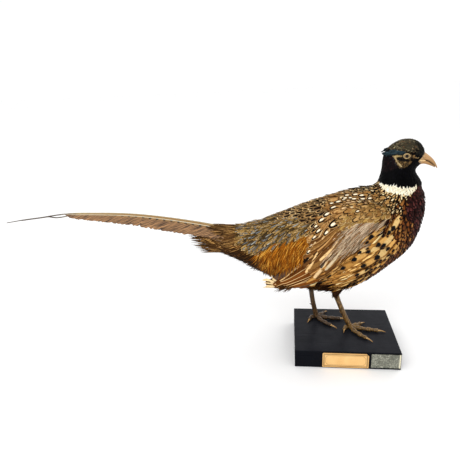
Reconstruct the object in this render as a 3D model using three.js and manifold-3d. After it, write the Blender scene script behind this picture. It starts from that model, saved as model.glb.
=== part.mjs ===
// A cock ring-necked pheasant as a taxidermist's standing mount on a black wooden block, life size.
// Millimetres, +Z up. The origin is the centre of the block's underside; +X is the way the bird faces,
// and +Y is its left.
import * as THREE from "three";
import { mergeVertices } from "three/addons/utils/BufferGeometryUtils.js";
import Module from "manifold-3d";

const wasm = await Module();
wasm.setup();

// ---------------------------------------------------------------- driving dimensions
const GAP = 0.3; // left between pieces that touch
const BLOCK = { length: 170, depth: 137, height: 32, bevel: 0.8 };
const LABEL = { left: -40, right: 34, low: 2.2, high: 29.2, thickness: 0.8, corner: 4 };
const MARBLED = { left: 38, right: 84, low: 4, high: 29.2, thickness: 0.7 };
const BIRD_Y = 19; // the bird stands behind the block's middle
const FLOOR = BLOCK.height + GAP; // what the feet stand on
const EYE = { x: 84, z: 336, y: 13, radius: 5.8 };
const TAIL_PITCH = 1.2; // from one tail feather down to the next
const VANE = 0.8; // thickness of a tail feather's vane

// The body's outline from the tail coverts to the forehead. Each station is a slice from the line of
// the back to the line of the belly, given as [x, z] pairs, with half the body's width there.
const BODY = [
  { back: [-230, 217], belly: [-230, 193], half: 9 },
  { back: [-204, 222.5], belly: [-213, 172.5], half: 21 },
  { back: [-166, 223], belly: [-174, 155], half: 33 },
  { back: [-126, 237], belly: [-138, 134], half: 43 },
  { back: [-89, 251.5], belly: [-101, 117], half: 51 },
  { back: [-51, 265.5], belly: [-60, 105], half: 57 },
  { back: [-16, 275], belly: [-19, 101], half: 60 },
  { back: [13, 283], belly: [28, 116], half: 60 },
  { back: [35, 287], belly: [74, 152.5], half: 56 },
  { back: [45, 291], belly: [106, 185.5], half: 49 },
  { back: [48, 297], belly: [120.5, 227], half: 41 },
  { back: [49.5, 305], belly: [122.5, 262], half: 33 },
  { back: [50.5, 316], belly: [114.5, 291], half: 26.5 },
  { back: [51.5, 328], belly: [103.5, 308], half: 22 },
  { back: [53.5, 339], belly: [104, 313.5], half: 19.5 },
  { back: [61, 350], belly: [109, 317], half: 18 },
  { back: [75, 358.5], belly: [111.5, 320.5], half: 17 },
  { back: [91, 360.3], belly: [113, 323.5], half: 16 },
  { back: [104, 355.5], belly: [114.5, 326.5], half: 13.5 },
  { back: [111, 347], belly: [115.5, 329], half: 10.5 },
  { back: [115, 338.5], belly: [116.2, 331.5], half: 6.5 },
];
// Where the body is parted, counted in stations.
const PARTING = { rump: 2.6, neck: 10.9, head: 13.35, end: BODY.length - 1 };

// The folded wing, from its wrist to the tips of the primaries: the upper and the lower edge.
const WING = [
  { upper: [62, 254], lower: [60.5, 246], thick: 3 },
  { upper: [50, 264], lower: [51, 232], thick: 9 },
  { upper: [28, 271], lower: [33, 226], thick: 12 },
  { upper: [2, 270], lower: [14, 208], thick: 13 },
  { upper: [-24, 260], lower: [-6, 185], thick: 13 },
  { upper: [-42, 240], lower: [-24, 160], thick: 12 },
  { upper: [-57, 214], lower: [-45, 138], thick: 10 },
  { upper: [-75, 188], lower: [-70, 124], thick: 8 },
  { upper: [-98, 164], lower: [-97, 117], thick: 6 },
  { upper: [-122, 142], lower: [-121, 115], thick: 4 },
  { upper: [-136, 130], lower: [-135, 121], thick: 2.4 },
];

// The bill's two halves, base to tip.
const UPPER_BILL = [
  { back: [107, 343], belly: [104, 326.6], half: 6.8 },
  { back: [114.5, 338], belly: [113, 326.4], half: 6.2 },
  { back: [121, 333], belly: [120, 324.8], half: 5.2 },
  { back: [127.5, 327], belly: [126.5, 320.2], half: 3.9 },
  { back: [132, 320.5], belly: [131, 316], half: 2.5 },
  { back: [135.2, 313.8], belly: [134.4, 312.4], half: 0.9 },
];
const LOWER_BILL = [
  { back: [104, 326.1], belly: [106, 318.6], half: 5.6 },
  { back: [112.6, 325.9], belly: [113.6, 320.4], half: 5.1 },
  { back: [119.4, 324.3], belly: [120.5, 318.6], half: 4.1 },
  { back: [125.9, 319.6], belly: [127, 316.2], half: 2.9 },
  { back: [130.2, 315.7], belly: [130.7, 314.2], half: 1.4 },
];

// The legs: each heel and ankle, with the bird's own Y, and its four toes. A toe leaves the foot at
// one heading, in degrees from +X, and ends at another.
const LEGS = {
  right: {
    heel: [-14.5, -15.5, 97],
    foot: [11.5, -16.5, 39],
    toes: {
      outer: { from: -66, to: -44, length: 42, claw: 12 },
      middle: { from: -16, to: -8, length: 48, claw: 12 },
      inner: { from: 24, to: 36, length: 24, claw: 9 },
      hind: { from: -172, to: -104, length: 15, claw: 8 },
    },
  },
  left: {
    heel: [-55.5, 15.5, 97],
    foot: [-44.5, 16.4, 39],
    toes: {
      outer: { from: 38, to: 52, length: 22, claw: 9 },
      middle: { from: -14, to: 0, length: 43, claw: 12 },
      inner: { from: -62, to: -38, length: 38, claw: 12 },
      hind: { from: -168, to: -112, length: 18, claw: 9 },
    },
  },
};
const THIGH = { top: [14, 128], topHalf: 15, heelHalf: 5 };
const SHANK = { deep: 3.7, wide: 3.1, joint: 4.7, bow: -1.6 };
const TOE = { start: 2.9, end: 2.1 };

// The tail feathers by pairs, the middle pair first: where the right and the left one end, how far
// each shaft lies from the middle of the tail, and half the vane's width. The first two pairs cross
// the middle, one feather over the other. The rest keep to their own side.
const TAIL = {
  root: -176,
  crossing: 2,
  pairs: [
    { right: -606, left: -577, shaft: 1.5, half: 21.5 },
    { right: -470, left: -447, shaft: 3.5, half: 19.5 },
    { right: -392, left: -372, shaft: 6.5, half: 16.5 },
    { right: -330, left: -316, shaft: 8, half: 15 },
    { right: -288, left: -276, shaft: 9.5, half: 13.5 },
  ],
};
// The line of the tail's ridge, [x, z], and half the vane's width along a whole feather, by share.
const TAIL_RIDGE = [
  [-170, 211], [-206, 219], [-244, 227], [-300, 236], [-357, 242.5], [-415, 245], [-475, 245],
  [-506, 242], [-537, 237.5], [-569, 233.5], [-606, 228],
];
const VANE_SHAPE = [0.55, 0.88, 1, 0.97, 0.86, 0.72, 0.54, 0.34, 0.17, 0.08, 0.03];
const ROOF_SLOPE = 0.64; // how the folded tail falls away to both sides of its ridge

// Paint, feather, horn and paper colours.
const COLOURS = {
  block: 0x1b1c20, label: 0xd9b47c, marbled: 0x8b8f86, rump: 0x8f6a35, trunk: 0xb08a4e,
  neck: 0x14131d, head: 0x3b3a2c, eye: 0x15120c, bill: 0xcfa673, wing: 0xb59465,
  thigh: 0x4a2f1d, shank: 0x8b7038, foot: 0x7d6339, claw: 0xc9a468, tail: 0xa8895c, tuft: 0x1f3436,
};

// ---------------------------------------------------------------- helpers

function lineOf(pairs) {
  return new THREE.CatmullRomCurve3(
    pairs.map(([x, z]) => new THREE.Vector3(x, 0, z)), false, "catmullrom", 0.5,
  );
}

// A closed solid through rings that have the same number of points, flat at both ends.
function loft(rings) {
  const count = rings[0].length;
  const points = rings.flat();
  const index = [];
  for (let i = 0; i + 1 < rings.length; i++) {
    for (let j = 0; j < count; j++) {
      const a = i * count + j;
      const b = i * count + ((j + 1) % count);
      index.push(a, b, b + count, a, b + count, a + count);
    }
  }
  for (const [ring, turn] of [[0, true], [rings.length - 1, false]]) {
    const centre = rings[ring].reduce((sum, p) => sum.add(p), new THREE.Vector3());
    points.push(centre.divideScalar(count));
    for (let j = 0; j < count; j++) {
      const a = ring * count + j;
      const b = ring * count + ((j + 1) % count);
      index.push(...(turn ? [points.length - 1, b, a] : [points.length - 1, a, b]));
    }
  }
  const geometry = new THREE.BufferGeometry().setFromPoints(points);
  geometry.setIndex(index);
  if (volumeOf(geometry) < 0) {
    for (let i = 0; i < index.length; i += 3) [index[i + 1], index[i + 2]] = [index[i + 2], index[i + 1]];
    geometry.setIndex(index);
  }
  return geometry;
}

function volumeOf(geometry) {
  const at = geometry.attributes.position;
  const [a, b, c] = [0, 1, 2].map(() => new THREE.Vector3());
  let sum = 0;
  for (let i = 0; i < geometry.index.count; i += 3) {
    a.fromBufferAttribute(at, geometry.index.getX(i));
    b.fromBufferAttribute(at, geometry.index.getX(i + 1));
    c.fromBufferAttribute(at, geometry.index.getX(i + 2));
    sum += a.dot(b.cross(c)) / 6;
  }
  return sum;
}

function solidOf(geometry) {
  const bare = geometry.clone();
  for (const name of Object.keys(bare.attributes)) {
    if (name !== "position") bare.deleteAttribute(name);
  }
  const merged = mergeVertices(bare, 1e-3);
  return new wasm.Manifold(new wasm.Mesh({
    numProp: 3,
    vertProperties: merged.attributes.position.array,
    triVerts: new Uint32Array(merged.index.array),
  }));
}

function geometryOf(solid) {
  const mesh = solid.getMesh();
  const geometry = new THREE.BufferGeometry();
  geometry.setAttribute("position", new THREE.BufferAttribute(mesh.vertProperties, 3));
  geometry.setIndex(new THREE.BufferAttribute(mesh.triVerts, 1));
  return geometry;
}

// The largest piece of a solid, without the slivers that a cut leaves.
function largest(solid) {
  return solid.decompose().sort((a, b) => b.volume() - a.volume())[0];
}

function mesh(name, shape, colour, roughness = 0.8) {
  const geometry = shape.isBufferGeometry ? shape : geometryOf(shape);
  geometry.computeVertexNormals();
  const made = new THREE.Mesh(geometry, new THREE.MeshStandardMaterial({ color: colour, roughness }));
  made.name = name;
  return made;
}

// Slices of an egg-shaped section between two outlines. at(t, grow) gives one ring, at t stations.
function slicer(stations, sides, widest = 0.52) {
  const last = stations.length - 1;
  const back = lineOf(stations.map((s) => s.back));
  const belly = lineOf(stations.map((s) => s.belly));
  const half = lineOf(stations.map((s) => [s.half, 0]));
  const slice = (t) => {
    const share = THREE.MathUtils.clamp(t / last, 0, 1);
    const low = belly.getPoint(share);
    const up = back.getPoint(share).sub(low);
    const height = up.length();
    up.normalize();
    return { low, up, height, half: half.getPoint(share).x, widest: height * widest };
  };
  const at = (t, grow = 0) => {
    const s = slice(t);
    const centre = s.low.clone().addScaledVector(s.up, s.widest);
    return Array.from({ length: sides }, (_, i) => {
      const turn = (2 * Math.PI * i) / sides;
      const reach = (Math.cos(turn) > 0 ? s.height - s.widest : s.widest) + grow;
      const point = centre.clone().addScaledVector(s.up, Math.cos(turn) * reach);
      return point.setY(Math.sin(turn) * (s.half + grow));
    });
  };
  const between = (from, to, steps, grow = 0) =>
    loft(Array.from({ length: steps + 1 }, (_, i) => at(from + ((to - from) * i) / steps, grow)));
  return { slice, at, between };
}

// A tapering limb along a smooth path. radii(share) gives its half width along and across.
function limb(points, radii, steps, sides) {
  const path = new THREE.CatmullRomCurve3(points, false, "centripetal");
  const rings = [];
  for (let i = 0; i <= steps; i++) {
    const share = i / steps;
    const along = path.getTangent(share);
    const side = new THREE.Vector3(0, 0, 1).cross(along);
    if (side.length() < 0.2 || Math.abs(along.z) > 0.6) side.set(0, 1, 0);
    side.addScaledVector(along, -side.dot(along)).normalize();
    const over = along.clone().cross(side);
    const [wide, deep] = radii(share);
    rings.push(Array.from({ length: sides }, (_, j) => {
      const turn = (2 * Math.PI * j) / sides;
      return path.getPoint(share)
        .addScaledVector(side, Math.cos(turn) * wide)
        .addScaledVector(over, Math.sin(turn) * deep);
    }));
  }
  return loft(rings);
}

const group = new THREE.Group();
const bird = new THREE.Group();
bird.position.y = BIRD_Y;
group.add(bird);

// ---------------------------------------------------------------- the block and its papers

function block() {
  const { length, depth, height, bevel } = BLOCK;
  const outline = new THREE.Shape([
    new THREE.Vector2(-length / 2 + bevel, -depth / 2 + bevel),
    new THREE.Vector2(length / 2 - bevel, -depth / 2 + bevel),
    new THREE.Vector2(length / 2 - bevel, depth / 2 - bevel),
    new THREE.Vector2(-length / 2 + bevel, depth / 2 - bevel),
  ]);
  const geometry = new THREE.ExtrudeGeometry(outline, {
    depth: height - 2 * bevel, bevelThickness: bevel, bevelSize: bevel, bevelSegments: 1,
  });
  return geometry.translate(0, 0, bevel);
}

// A paper on the block's front face, drawn in X and Z and raised towards -Y.
function paper(corners, thickness) {
  const outline = new THREE.Shape(corners.map(([x, z]) => new THREE.Vector2(x, z)));
  const geometry = new THREE.ExtrudeGeometry(outline, { depth: thickness, bevelEnabled: false });
  geometry.rotateX(Math.PI / 2);
  return geometry.translate(0, -BLOCK.depth / 2 - GAP, 0);
}

group.add(mesh("base_block", block(), COLOURS.block, 0.35));
group.add(mesh("label_paper", paper([
  [LABEL.left, LABEL.low],
  [LABEL.right, LABEL.low],
  [LABEL.right, LABEL.high - LABEL.corner],
  [LABEL.right - LABEL.corner, LABEL.high],
  [LABEL.left + 1.5, LABEL.high],
  [LABEL.left, LABEL.high - 1.5],
], LABEL.thickness), COLOURS.label));
group.add(mesh("marbled_paper", paper([
  [MARBLED.left, MARBLED.low],
  [MARBLED.right, MARBLED.low],
  [MARBLED.right, MARBLED.high],
  [MARBLED.left, MARBLED.high],
], MARBLED.thickness), COLOURS.marbled));

// ---------------------------------------------------------------- rump, trunk, neck and head

const body = slicer(BODY, 24);
const CUT = 0.03; // half of a parting's width, in stations
const rump = body.between(0, PARTING.rump - CUT, 6);
const trunk = body.between(PARTING.rump + CUT, PARTING.neck - CUT, 18);
const neck = body.between(PARTING.neck + CUT, PARTING.head - CUT, 6);
const headWhole = body.between(PARTING.head + CUT, PARTING.end, 12);
const trunkGrown = solidOf(body.between(PARTING.rump + CUT, PARTING.neck - CUT, 18, GAP));
const headGrown = solidOf(body.between(PARTING.head + CUT, PARTING.end, 12, GAP));

function eyeball(side, grow = 0) {
  return new THREE.SphereGeometry(EYE.radius + grow, 14, 8).translate(EYE.x, side * EYE.y, EYE.z);
}

const head = [1, -1].reduce((left, side) => left.subtract(solidOf(eyeball(side, GAP))), solidOf(headWhole));
bird.add(mesh("neck", neck, COLOURS.neck));
bird.add(mesh("head", head, COLOURS.head));
bird.add(mesh("eye_right", eyeball(-1), COLOURS.eye, 0.1));
bird.add(mesh("eye_left", eyeball(1), COLOURS.eye, 0.1));
bird.add(mesh("bill_upper",
  largest(solidOf(slicer(UPPER_BILL, 12, 0.35).between(0, 5, 8)).subtract(headGrown)), COLOURS.bill, 0.5));
bird.add(mesh("bill_lower",
  largest(solidOf(slicer(LOWER_BILL, 10, 0.65).between(0, 4, 6)).subtract(headGrown)), COLOURS.bill, 0.5));

// The small tuft behind each ear, which ends beyond the nape.
function earTuft(side) {
  const path = [[76, 16, 343], [66, 17.2, 342], [57, 15, 340], [51, 10.5, 337.5]]
    .map(([x, y, z]) => new THREE.Vector3(x, side * y, z));
  const whole = limb(path, (s) => [2.4 * (1 - s * 0.75), 3.4 * (1 - s * 0.7)], 6, 6);
  return largest(solidOf(whole).subtract(headGrown));
}
bird.add(mesh("ear_tuft_right", earTuft(-1), COLOURS.tuft));
bird.add(mesh("ear_tuft_left", earTuft(1), COLOURS.tuft));

// ---------------------------------------------------------------- wings

// The slice that passes through [x, z] in the side view, and how high the point lies in it, from 1
// at the back to -1 at the belly.
function sliceAt(x, z) {
  let [from, to] = [0, PARTING.neck];
  for (let i = 0; i < 24; i++) {
    const middle = (from + to) / 2;
    const s = body.slice(middle);
    const ahead = (x - s.low.x) * s.up.z - (z - s.low.z) * s.up.x;
    if (ahead > 0) from = middle;
    else to = middle;
  }
  const s = body.slice(from);
  const height = (x - s.low.x) * s.up.x + (z - s.low.z) * s.up.z - s.widest;
  const reach = height > 0 ? s.height - s.widest : s.widest;
  return { ...s, reach, height: height / reach };
}

// The point of the wing over [x, z], as far out from the body's side as asked. Its lower edge hangs
// straighter than the body's side, which turns in towards the belly.
function wingPoint(x, z, out) {
  const s = sliceAt(x, z);
  const height = s.height > 0 ? Math.min(s.height, 0.97) : Math.max(s.height * 0.75, -0.75);
  const turn = Math.acos(height);
  const lift = Math.cos(turn) / s.reach;
  const aside = Math.sin(turn) / s.half;
  const normal = s.up.clone().multiplyScalar(Math.max(lift, 0)).setY(aside).normalize();
  return new THREE.Vector3(x, s.half * Math.sin(turn), z).addScaledVector(normal, out);
}

function wing(side) {
  const upper = lineOf(WING.map((w) => w.upper));
  const lower = lineOf(WING.map((w) => w.lower));
  const thick = lineOf(WING.map((w) => [w.thick, 0]));
  const steps = 15;
  const across = 7; // points over each face
  const edge = 1.2; // how far the edges stand off the body
  const rings = Array.from({ length: steps + 1 }, (_, i) => {
    const share = i / steps;
    const [top, bottom] = [upper.getPoint(share), lower.getPoint(share)];
    const deep = thick.getPoint(share).x;
    const at = (j, outer) => {
      const v = (j / (across - 1)) * 2 - 1;
      const { x, z } = top.clone().lerp(bottom, (v + 1) / 2);
      const lens = Math.sqrt(Math.max(0, 1 - v ** 4));
      const out = outer ? edge + deep * 0.55 * lens : -0.6 - 6 * lens * (1 - share * 0.7);
      const point = wingPoint(x, z, out);
      return point.setY(side * point.y);
    };
    const outer = Array.from({ length: across }, (_, j) => at(j, true));
    const inner = Array.from({ length: across }, (_, j) => at(across - 1 - j, false));
    return [...outer, ...inner];
  });
  return solidOf(loft(rings));
}

const wings = { right: wing(-1), left: wing(1) };
for (const [name, solid] of Object.entries(wings)) {
  bird.add(mesh("wing_" + name, largest(solid.subtract(trunkGrown)), COLOURS.wing));
}
bird.add(mesh("rump", rump, COLOURS.rump));
bird.add(mesh("trunk", trunk, COLOURS.trunk));

// ---------------------------------------------------------------- legs and feet

const v3 = (x, y, z) => new THREE.Vector3(x, y, z);

function thigh(side, [x, y, z]) {
  const [forward, height] = THIGH.top;
  const points = [
    v3(x + forward, y + side * 3, height),
    v3(x + forward * 0.45, y + side, 114),
    v3(x, y, z - 3),
  ];
  const radii = (s) => {
    const r = THREE.MathUtils.lerp(THIGH.topHalf, THIGH.heelHalf, Math.sin(s * Math.PI * 0.5));
    return [r, r * 1.1];
  };
  return largest(solidOf(limb(points, radii, 6, 10)).subtract(trunkGrown));
}

// The scaled shank, thicker at the heel and where the toes begin.
function shank([hx, hy, hz], [fx, fy, fz]) {
  const heel = v3(hx, hy, hz + 2);
  const foot = v3(fx, fy, fz - 2);
  const bow = heel.clone().lerp(foot, 0.5).add(v3(SHANK.bow, 0, 0));
  const radii = (s) => {
    const swell = Math.exp(-((s / 0.12) ** 2)) + 0.6 * Math.exp(-(((1 - s) / 0.12) ** 2));
    const deep = SHANK.deep + (SHANK.joint - SHANK.deep) * swell;
    return [(deep * SHANK.wide) / SHANK.deep, deep];
  };
  return solidOf(limb([heel, bow, foot], radii, 9, 8));
}

function spur(side, [hx, hy, hz], [fx, fy, fz]) {
  const start = v3(hx, hy, hz).lerp(v3(fx, fy, fz), 0.62);
  const points = [start.clone().add(v3(-1, -side * 1, 0)), start.clone().add(v3(-5, -side * 2, 0.4)),
    start.clone().add(v3(-8.5, -side * 2.4, 2.2))];
  return solidOf(limb(points, (s) => [2.2 * (1 - 0.85 * s), 2.4 * (1 - 0.85 * s)], 3, 6));
}

// Points along a toe: it drops from the foot to the block and then runs flat along it.
function toePath([x, y, z], { from, to, length }) {
  const points = [v3(x, y, z)];
  const steps = 4;
  for (let i = 0; i < steps; i++) {
    const heading = THREE.MathUtils.degToRad(THREE.MathUtils.lerp(from, to, i / (steps - 1)));
    const last = points.at(-1);
    const lift = [0.55, 0.35, 0.25, 0.1][i];
    points.push(v3(
      last.x + (Math.cos(heading) * length) / steps,
      last.y + (Math.sin(heading) * length) / steps,
      FLOOR + THREE.MathUtils.lerp(TOE.start, TOE.end, (i + 1) / steps) + lift,
    ));
  }
  return points;
}

function toe(foot, plan) {
  const knuckles = plan.length > 30 ? 3 : 2;
  const radii = (s) => {
    const knuckle = 1 + 0.07 * Math.cos(2 * Math.PI * knuckles * s);
    const r = THREE.MathUtils.lerp(TOE.start, TOE.end, s) * knuckle;
    return [r * 1.08, r];
  };
  return solidOf(limb(toePath(foot, plan), radii, 8, 6));
}

// A claw carries on from the toe's end and hooks down to the block.
function claw(foot, plan) {
  const path = toePath(foot, plan);
  const end = path.at(-1);
  const heading = THREE.MathUtils.degToRad(plan.to);
  const ahead = v3(Math.cos(heading), Math.sin(heading), 0);
  const tip = FLOOR + 0.7;
  const points = [0, 0.35, 0.7, 1].map((s) => {
    const point = end.clone().addScaledVector(ahead, GAP + plan.claw * s);
    return point.setZ(end.z + 0.4 * Math.sin(s * 3) + (tip - end.z) * s ** 1.6);
  });
  return limb(points, (s) => [1.75 * (1 - 0.8 * s), 1.95 * (1 - 0.72 * s)], 4, 6);
}

// The stretch of a solid between two heights.
function stretch(solid, low, high) {
  return largest(solid.trimByPlane([0, 0, 1], low).trimByPlane([0, 0, -1], -high));
}

for (const [name, leg] of Object.entries(LEGS)) {
  const side = name === "left" ? 1 : -1;
  const [x, y, ankle] = leg.foot;
  const heel = leg.heel[2];
  const spread = [x, y, FLOOR + 4.2]; // where the toes part
  const upper = stretch(thigh(side, leg.heel), heel + GAP / 2, ankle + 200);
  const shaft = shank(leg.heel, leg.foot).add(spur(side, leg.heel, leg.foot));
  const knot = new THREE.SphereGeometry(1, 8, 5).scale(5.2, 4.6, 4.2).translate(...spread);
  const toes = Object.entries(leg.toes);
  const foot = toes.reduce((joined, [, plan]) => joined.add(toe(spread, plan)), solidOf(knot));
  bird.add(mesh("thigh_" + name, upper, COLOURS.thigh));
  bird.add(mesh("shank_" + name, stretch(shaft, ankle + GAP / 2, heel - GAP / 2), COLOURS.shank, 0.6));
  bird.add(mesh("foot_" + name, stretch(foot, FLOOR, ankle - GAP / 2), COLOURS.foot, 0.6));
  for (const [toeName, plan] of toes) {
    bird.add(mesh(`claw_${name}_${toeName}`, claw(spread, plan), COLOURS.claw, 0.4));
  }
}

// ---------------------------------------------------------------- tail

const vaneShape = lineOf(VANE_SHAPE.map((half, i) => [half, i]));
const ridge = lineOf(TAIL_RIDGE).getSpacedPoints(15);

// The height of the tail's ridge at x, straight from one of the ridge's points to the next.
function ridgeHeight(x) {
  const i = Math.max(1, ridge.findIndex((p) => p.x <= x));
  const [ahead, behind] = [ridge[i - 1], ridge[i]];
  return THREE.MathUtils.mapLinear(x, ahead.x, behind.x, ahead.z, behind.z);
}

// One vane of the folded tail, which is a roof with its ridge over the tail's middle. All vanes bend
// at the ridge's points only, so that they lie on each other without touching.
function tailFeather(side, end, pair, layer, crosses) {
  const length = TAIL.root - end;
  const whole = TAIL.root - TAIL.pairs[0].right;
  const between = ridge.map((p) => p.x).filter((x) => x < TAIL.root - 3 && x > end + 18);
  const rings = [TAIL.root, ...between, end + 12, end + 5, end].map((x) => {
    const share = (TAIL.root - x) / length;
    const half = Math.max(0.8, pair.half * vaneShape.getPoint(share).x);
    const shaft = pair.shaft * (1 - share * 0.5);
    const outer = shaft + half;
    const inner = crosses ? Math.min(shaft - half * 0.72, -0.5) : Math.max(shaft - half * 0.72, GAP / 2);
    const across = crosses
      ? [inner, 0, outer / 2, outer]
      : [inner, (2 * inner + outer) / 3, (inner + 2 * outer) / 3, outer];
    const layered = layer * TAIL_PITCH * (1 - (0.25 * (TAIL.root - x)) / whole);
    const point = (y, rise) => {
      const z = ridgeHeight(x) - ROOF_SLOPE * Math.abs(y) - layered + rise;
      return new THREE.Vector3(x, side * y, z);
    };
    return [...across.map((y) => point(y, VANE)), ...across.toReversed().map((y) => point(y, 0))];
  });
  return solidOf(loft(rings));
}

const rumpGrown = solidOf(body.between(0, PARTING.rump + CUT, 6, GAP));
TAIL.pairs.forEach((pair, i) => {
  const crosses = i < TAIL.crossing;
  const layer = crosses ? 2 * i : TAIL.crossing + i;
  const right = tailFeather(-1, pair.right, pair, layer, crosses);
  const left = tailFeather(1, pair.left, pair, crosses ? layer + 1 : layer, crosses);
  bird.add(mesh(`tail_${i + 1}_right`, largest(right.subtract(rumpGrown)), COLOURS.tail));
  bird.add(mesh(`tail_${i + 1}_left`, largest(left.subtract(rumpGrown)), COLOURS.tail));
});

export default group;
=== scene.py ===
# %% [markdown]
# # A cock pheasant on a black block
#
# This lesson dresses a plain solid model of a mounted pheasant. The bird stands on a painted wooden
# block with a paper label. The solids are already the right size and in the right place, so each
# step adds a finer piece over them: a skin, a coat of some thousands of feathers, horn, glass,
# scales, paper and paint. All sizes are worked in millimetres and turned to metres at the end.

# %% Load the fixed frame
import math

import bpy
import numpy as np
from mathutils import Matrix, Vector
from mathutils.bvhtree import BVHTree
from mathutils.kdtree import KDTree


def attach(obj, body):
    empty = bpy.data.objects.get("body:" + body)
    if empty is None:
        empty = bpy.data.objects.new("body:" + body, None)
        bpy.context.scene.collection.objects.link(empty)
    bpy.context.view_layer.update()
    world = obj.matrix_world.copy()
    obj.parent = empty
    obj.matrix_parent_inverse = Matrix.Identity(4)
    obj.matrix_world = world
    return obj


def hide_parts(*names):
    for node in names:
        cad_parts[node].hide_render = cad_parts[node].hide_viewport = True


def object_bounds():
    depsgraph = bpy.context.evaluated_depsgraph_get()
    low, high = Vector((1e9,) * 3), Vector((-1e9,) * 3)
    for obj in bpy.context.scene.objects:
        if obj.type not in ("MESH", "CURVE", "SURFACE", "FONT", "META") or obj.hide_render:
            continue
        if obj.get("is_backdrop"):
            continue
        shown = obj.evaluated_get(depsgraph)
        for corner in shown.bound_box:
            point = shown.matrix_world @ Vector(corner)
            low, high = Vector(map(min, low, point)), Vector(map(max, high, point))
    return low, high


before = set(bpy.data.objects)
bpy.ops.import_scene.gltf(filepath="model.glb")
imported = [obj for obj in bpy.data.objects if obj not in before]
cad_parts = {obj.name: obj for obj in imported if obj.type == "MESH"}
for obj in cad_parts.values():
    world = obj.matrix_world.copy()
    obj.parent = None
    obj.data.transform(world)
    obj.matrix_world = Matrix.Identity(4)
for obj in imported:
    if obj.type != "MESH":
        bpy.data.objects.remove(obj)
solid_box = [list(map(float, corner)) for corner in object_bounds()]
chance = np.random.default_rng(7)
print("solids:", len(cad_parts), "box in metres:", solid_box)

# %% [markdown]
# ## Working in millimetres
#
# A taxidermist measures a bird in millimetres, and Blender works in metres. The bird stands 19 mm
# behind the middle of the block. Two small helpers keep the rest readable: one turns the bird's own
# millimetres into Blender's metres, and one turns a mesh of the frame back into millimetres.

# %% Millimetres and metres
BIRD_Y = 19.0


def metres(points):
    return (np.asarray(points, float) + (0, BIRD_Y, 0)) / 1000


def read(mesh, what="co"):
    """The places of a mesh's points, or their normals."""
    flat = np.zeros(len(mesh.vertices) * 3, np.float32)
    mesh.vertices.foreach_get(what, flat)
    return flat.reshape(-1, 3).astype(float)


def bird_mm(mesh):
    return read(mesh) * 1000 - (0, BIRD_Y, 0)


# %% [markdown]
# ## The camera
#
# A camera is a matrix whose columns are its right, its up and its backward direction. The bird is
# seen from its right side, a little from the front of it and from above, with the camera tipped
# three degrees. Writing the three turns as angles keeps them easy to change.

# %% Camera
yaw, pitch, roll = map(math.radians, (8.0, 20.0, -3.0))
forward = Vector((-math.sin(yaw) * math.cos(pitch), math.cos(yaw) * math.cos(pitch), -math.sin(pitch)))
level = Vector((math.cos(yaw), math.sin(yaw), 0))
upward = level.cross(forward)
right = math.cos(roll) * level + math.sin(roll) * upward
top = math.cos(roll) * upward - math.sin(roll) * level
lens = bpy.data.cameras.new("camera")
lens.sensor_width, lens.lens = 36.0, 35.217
camera = bpy.data.objects.new("camera", lens)
place = Vector((-0.09314, -0.70342, 0.47720))
camera.matrix_world = Matrix((
    (right.x, top.x, -forward.x, place.x),
    (right.y, top.y, -forward.y, place.y),
    (right.z, top.z, -forward.z, place.z),
    (0, 0, 0, 1),
))
bpy.context.scene.collection.objects.link(camera)
bpy.context.scene.camera = camera
print("camera at", tuple(round(v, 3) for v in place), "lens", lens.lens)

# %% [markdown]
# ## Colour and nodes
#
# Colours are picked as the eye sees them, as hex codes in sRGB, while light adds up in linear
# values, so one function turns the first into the second. Node trees are long to write by hand, so
# one small function adds any node with its settings and joins its inputs to what feeds them. Inputs
# with a name are called by it, the others by their number: in a map of a range, 1 and 2 are the
# span that comes in and 3 and 4 the span that goes out, and in a mix of colours 6 and 7 are the two.

# %% Helpers for materials
def linear(code):
    eye = np.array([int(code[i:i + 2], 16) / 255 for i in (1, 3, 5)])
    light = np.where(eye <= 0.04045, eye / 12.92, ((eye + 0.055) / 1.055) ** 2.4)
    return (*(float(v) for v in light), 1.0)


def feed(tree, source, socket):
    """Gives a socket a plain value, an output, or the first live output of a whole node."""
    if isinstance(source, bpy.types.Node):
        source = next(output for output in source.outputs if output.enabled)
    if isinstance(source, bpy.types.NodeSocket):
        tree.links.new(source, socket)
    else:
        socket.default_value = source


def put(tree, kind, inputs=None, **settings):
    """Adds one node, with its settings and with what feeds its inputs."""
    node = tree.nodes.new("ShaderNode" + kind)
    for name, value in settings.items():
        setattr(node, name, value)
    for name, value in (inputs or {}).items():
        feed(tree, value, node.inputs[name])
    return node


# Settings that many nodes share: work on colours, multiply them, and change over softly.
COLOURS = dict(data_type="RGBA")
TIMES = dict(data_type="RGBA", blend_type="MULTIPLY")
SOFTLY = dict(interpolation_type="SMOOTHSTEP")


def blank_material(name, **sockets):
    made = bpy.data.materials.new(name)
    made.use_nodes = True
    shader = made.node_tree.nodes["Principled BSDF"]
    for socket, value in sockets.items():
        shader.inputs[socket.replace("_", " ")].default_value = value
    return made, made.node_tree, shader


print("linear value of a mid grey:", round(linear("#808080")[0], 3))

# %% [markdown]
# ## Floor and light
#
# A museum object is shown in soft light from a large source, so that dark feathers keep their
# shape. A bright even sky does most of the work, and one wide lamp from the upper left gives the
# forms a lit side. The floor is plain matt white.

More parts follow.
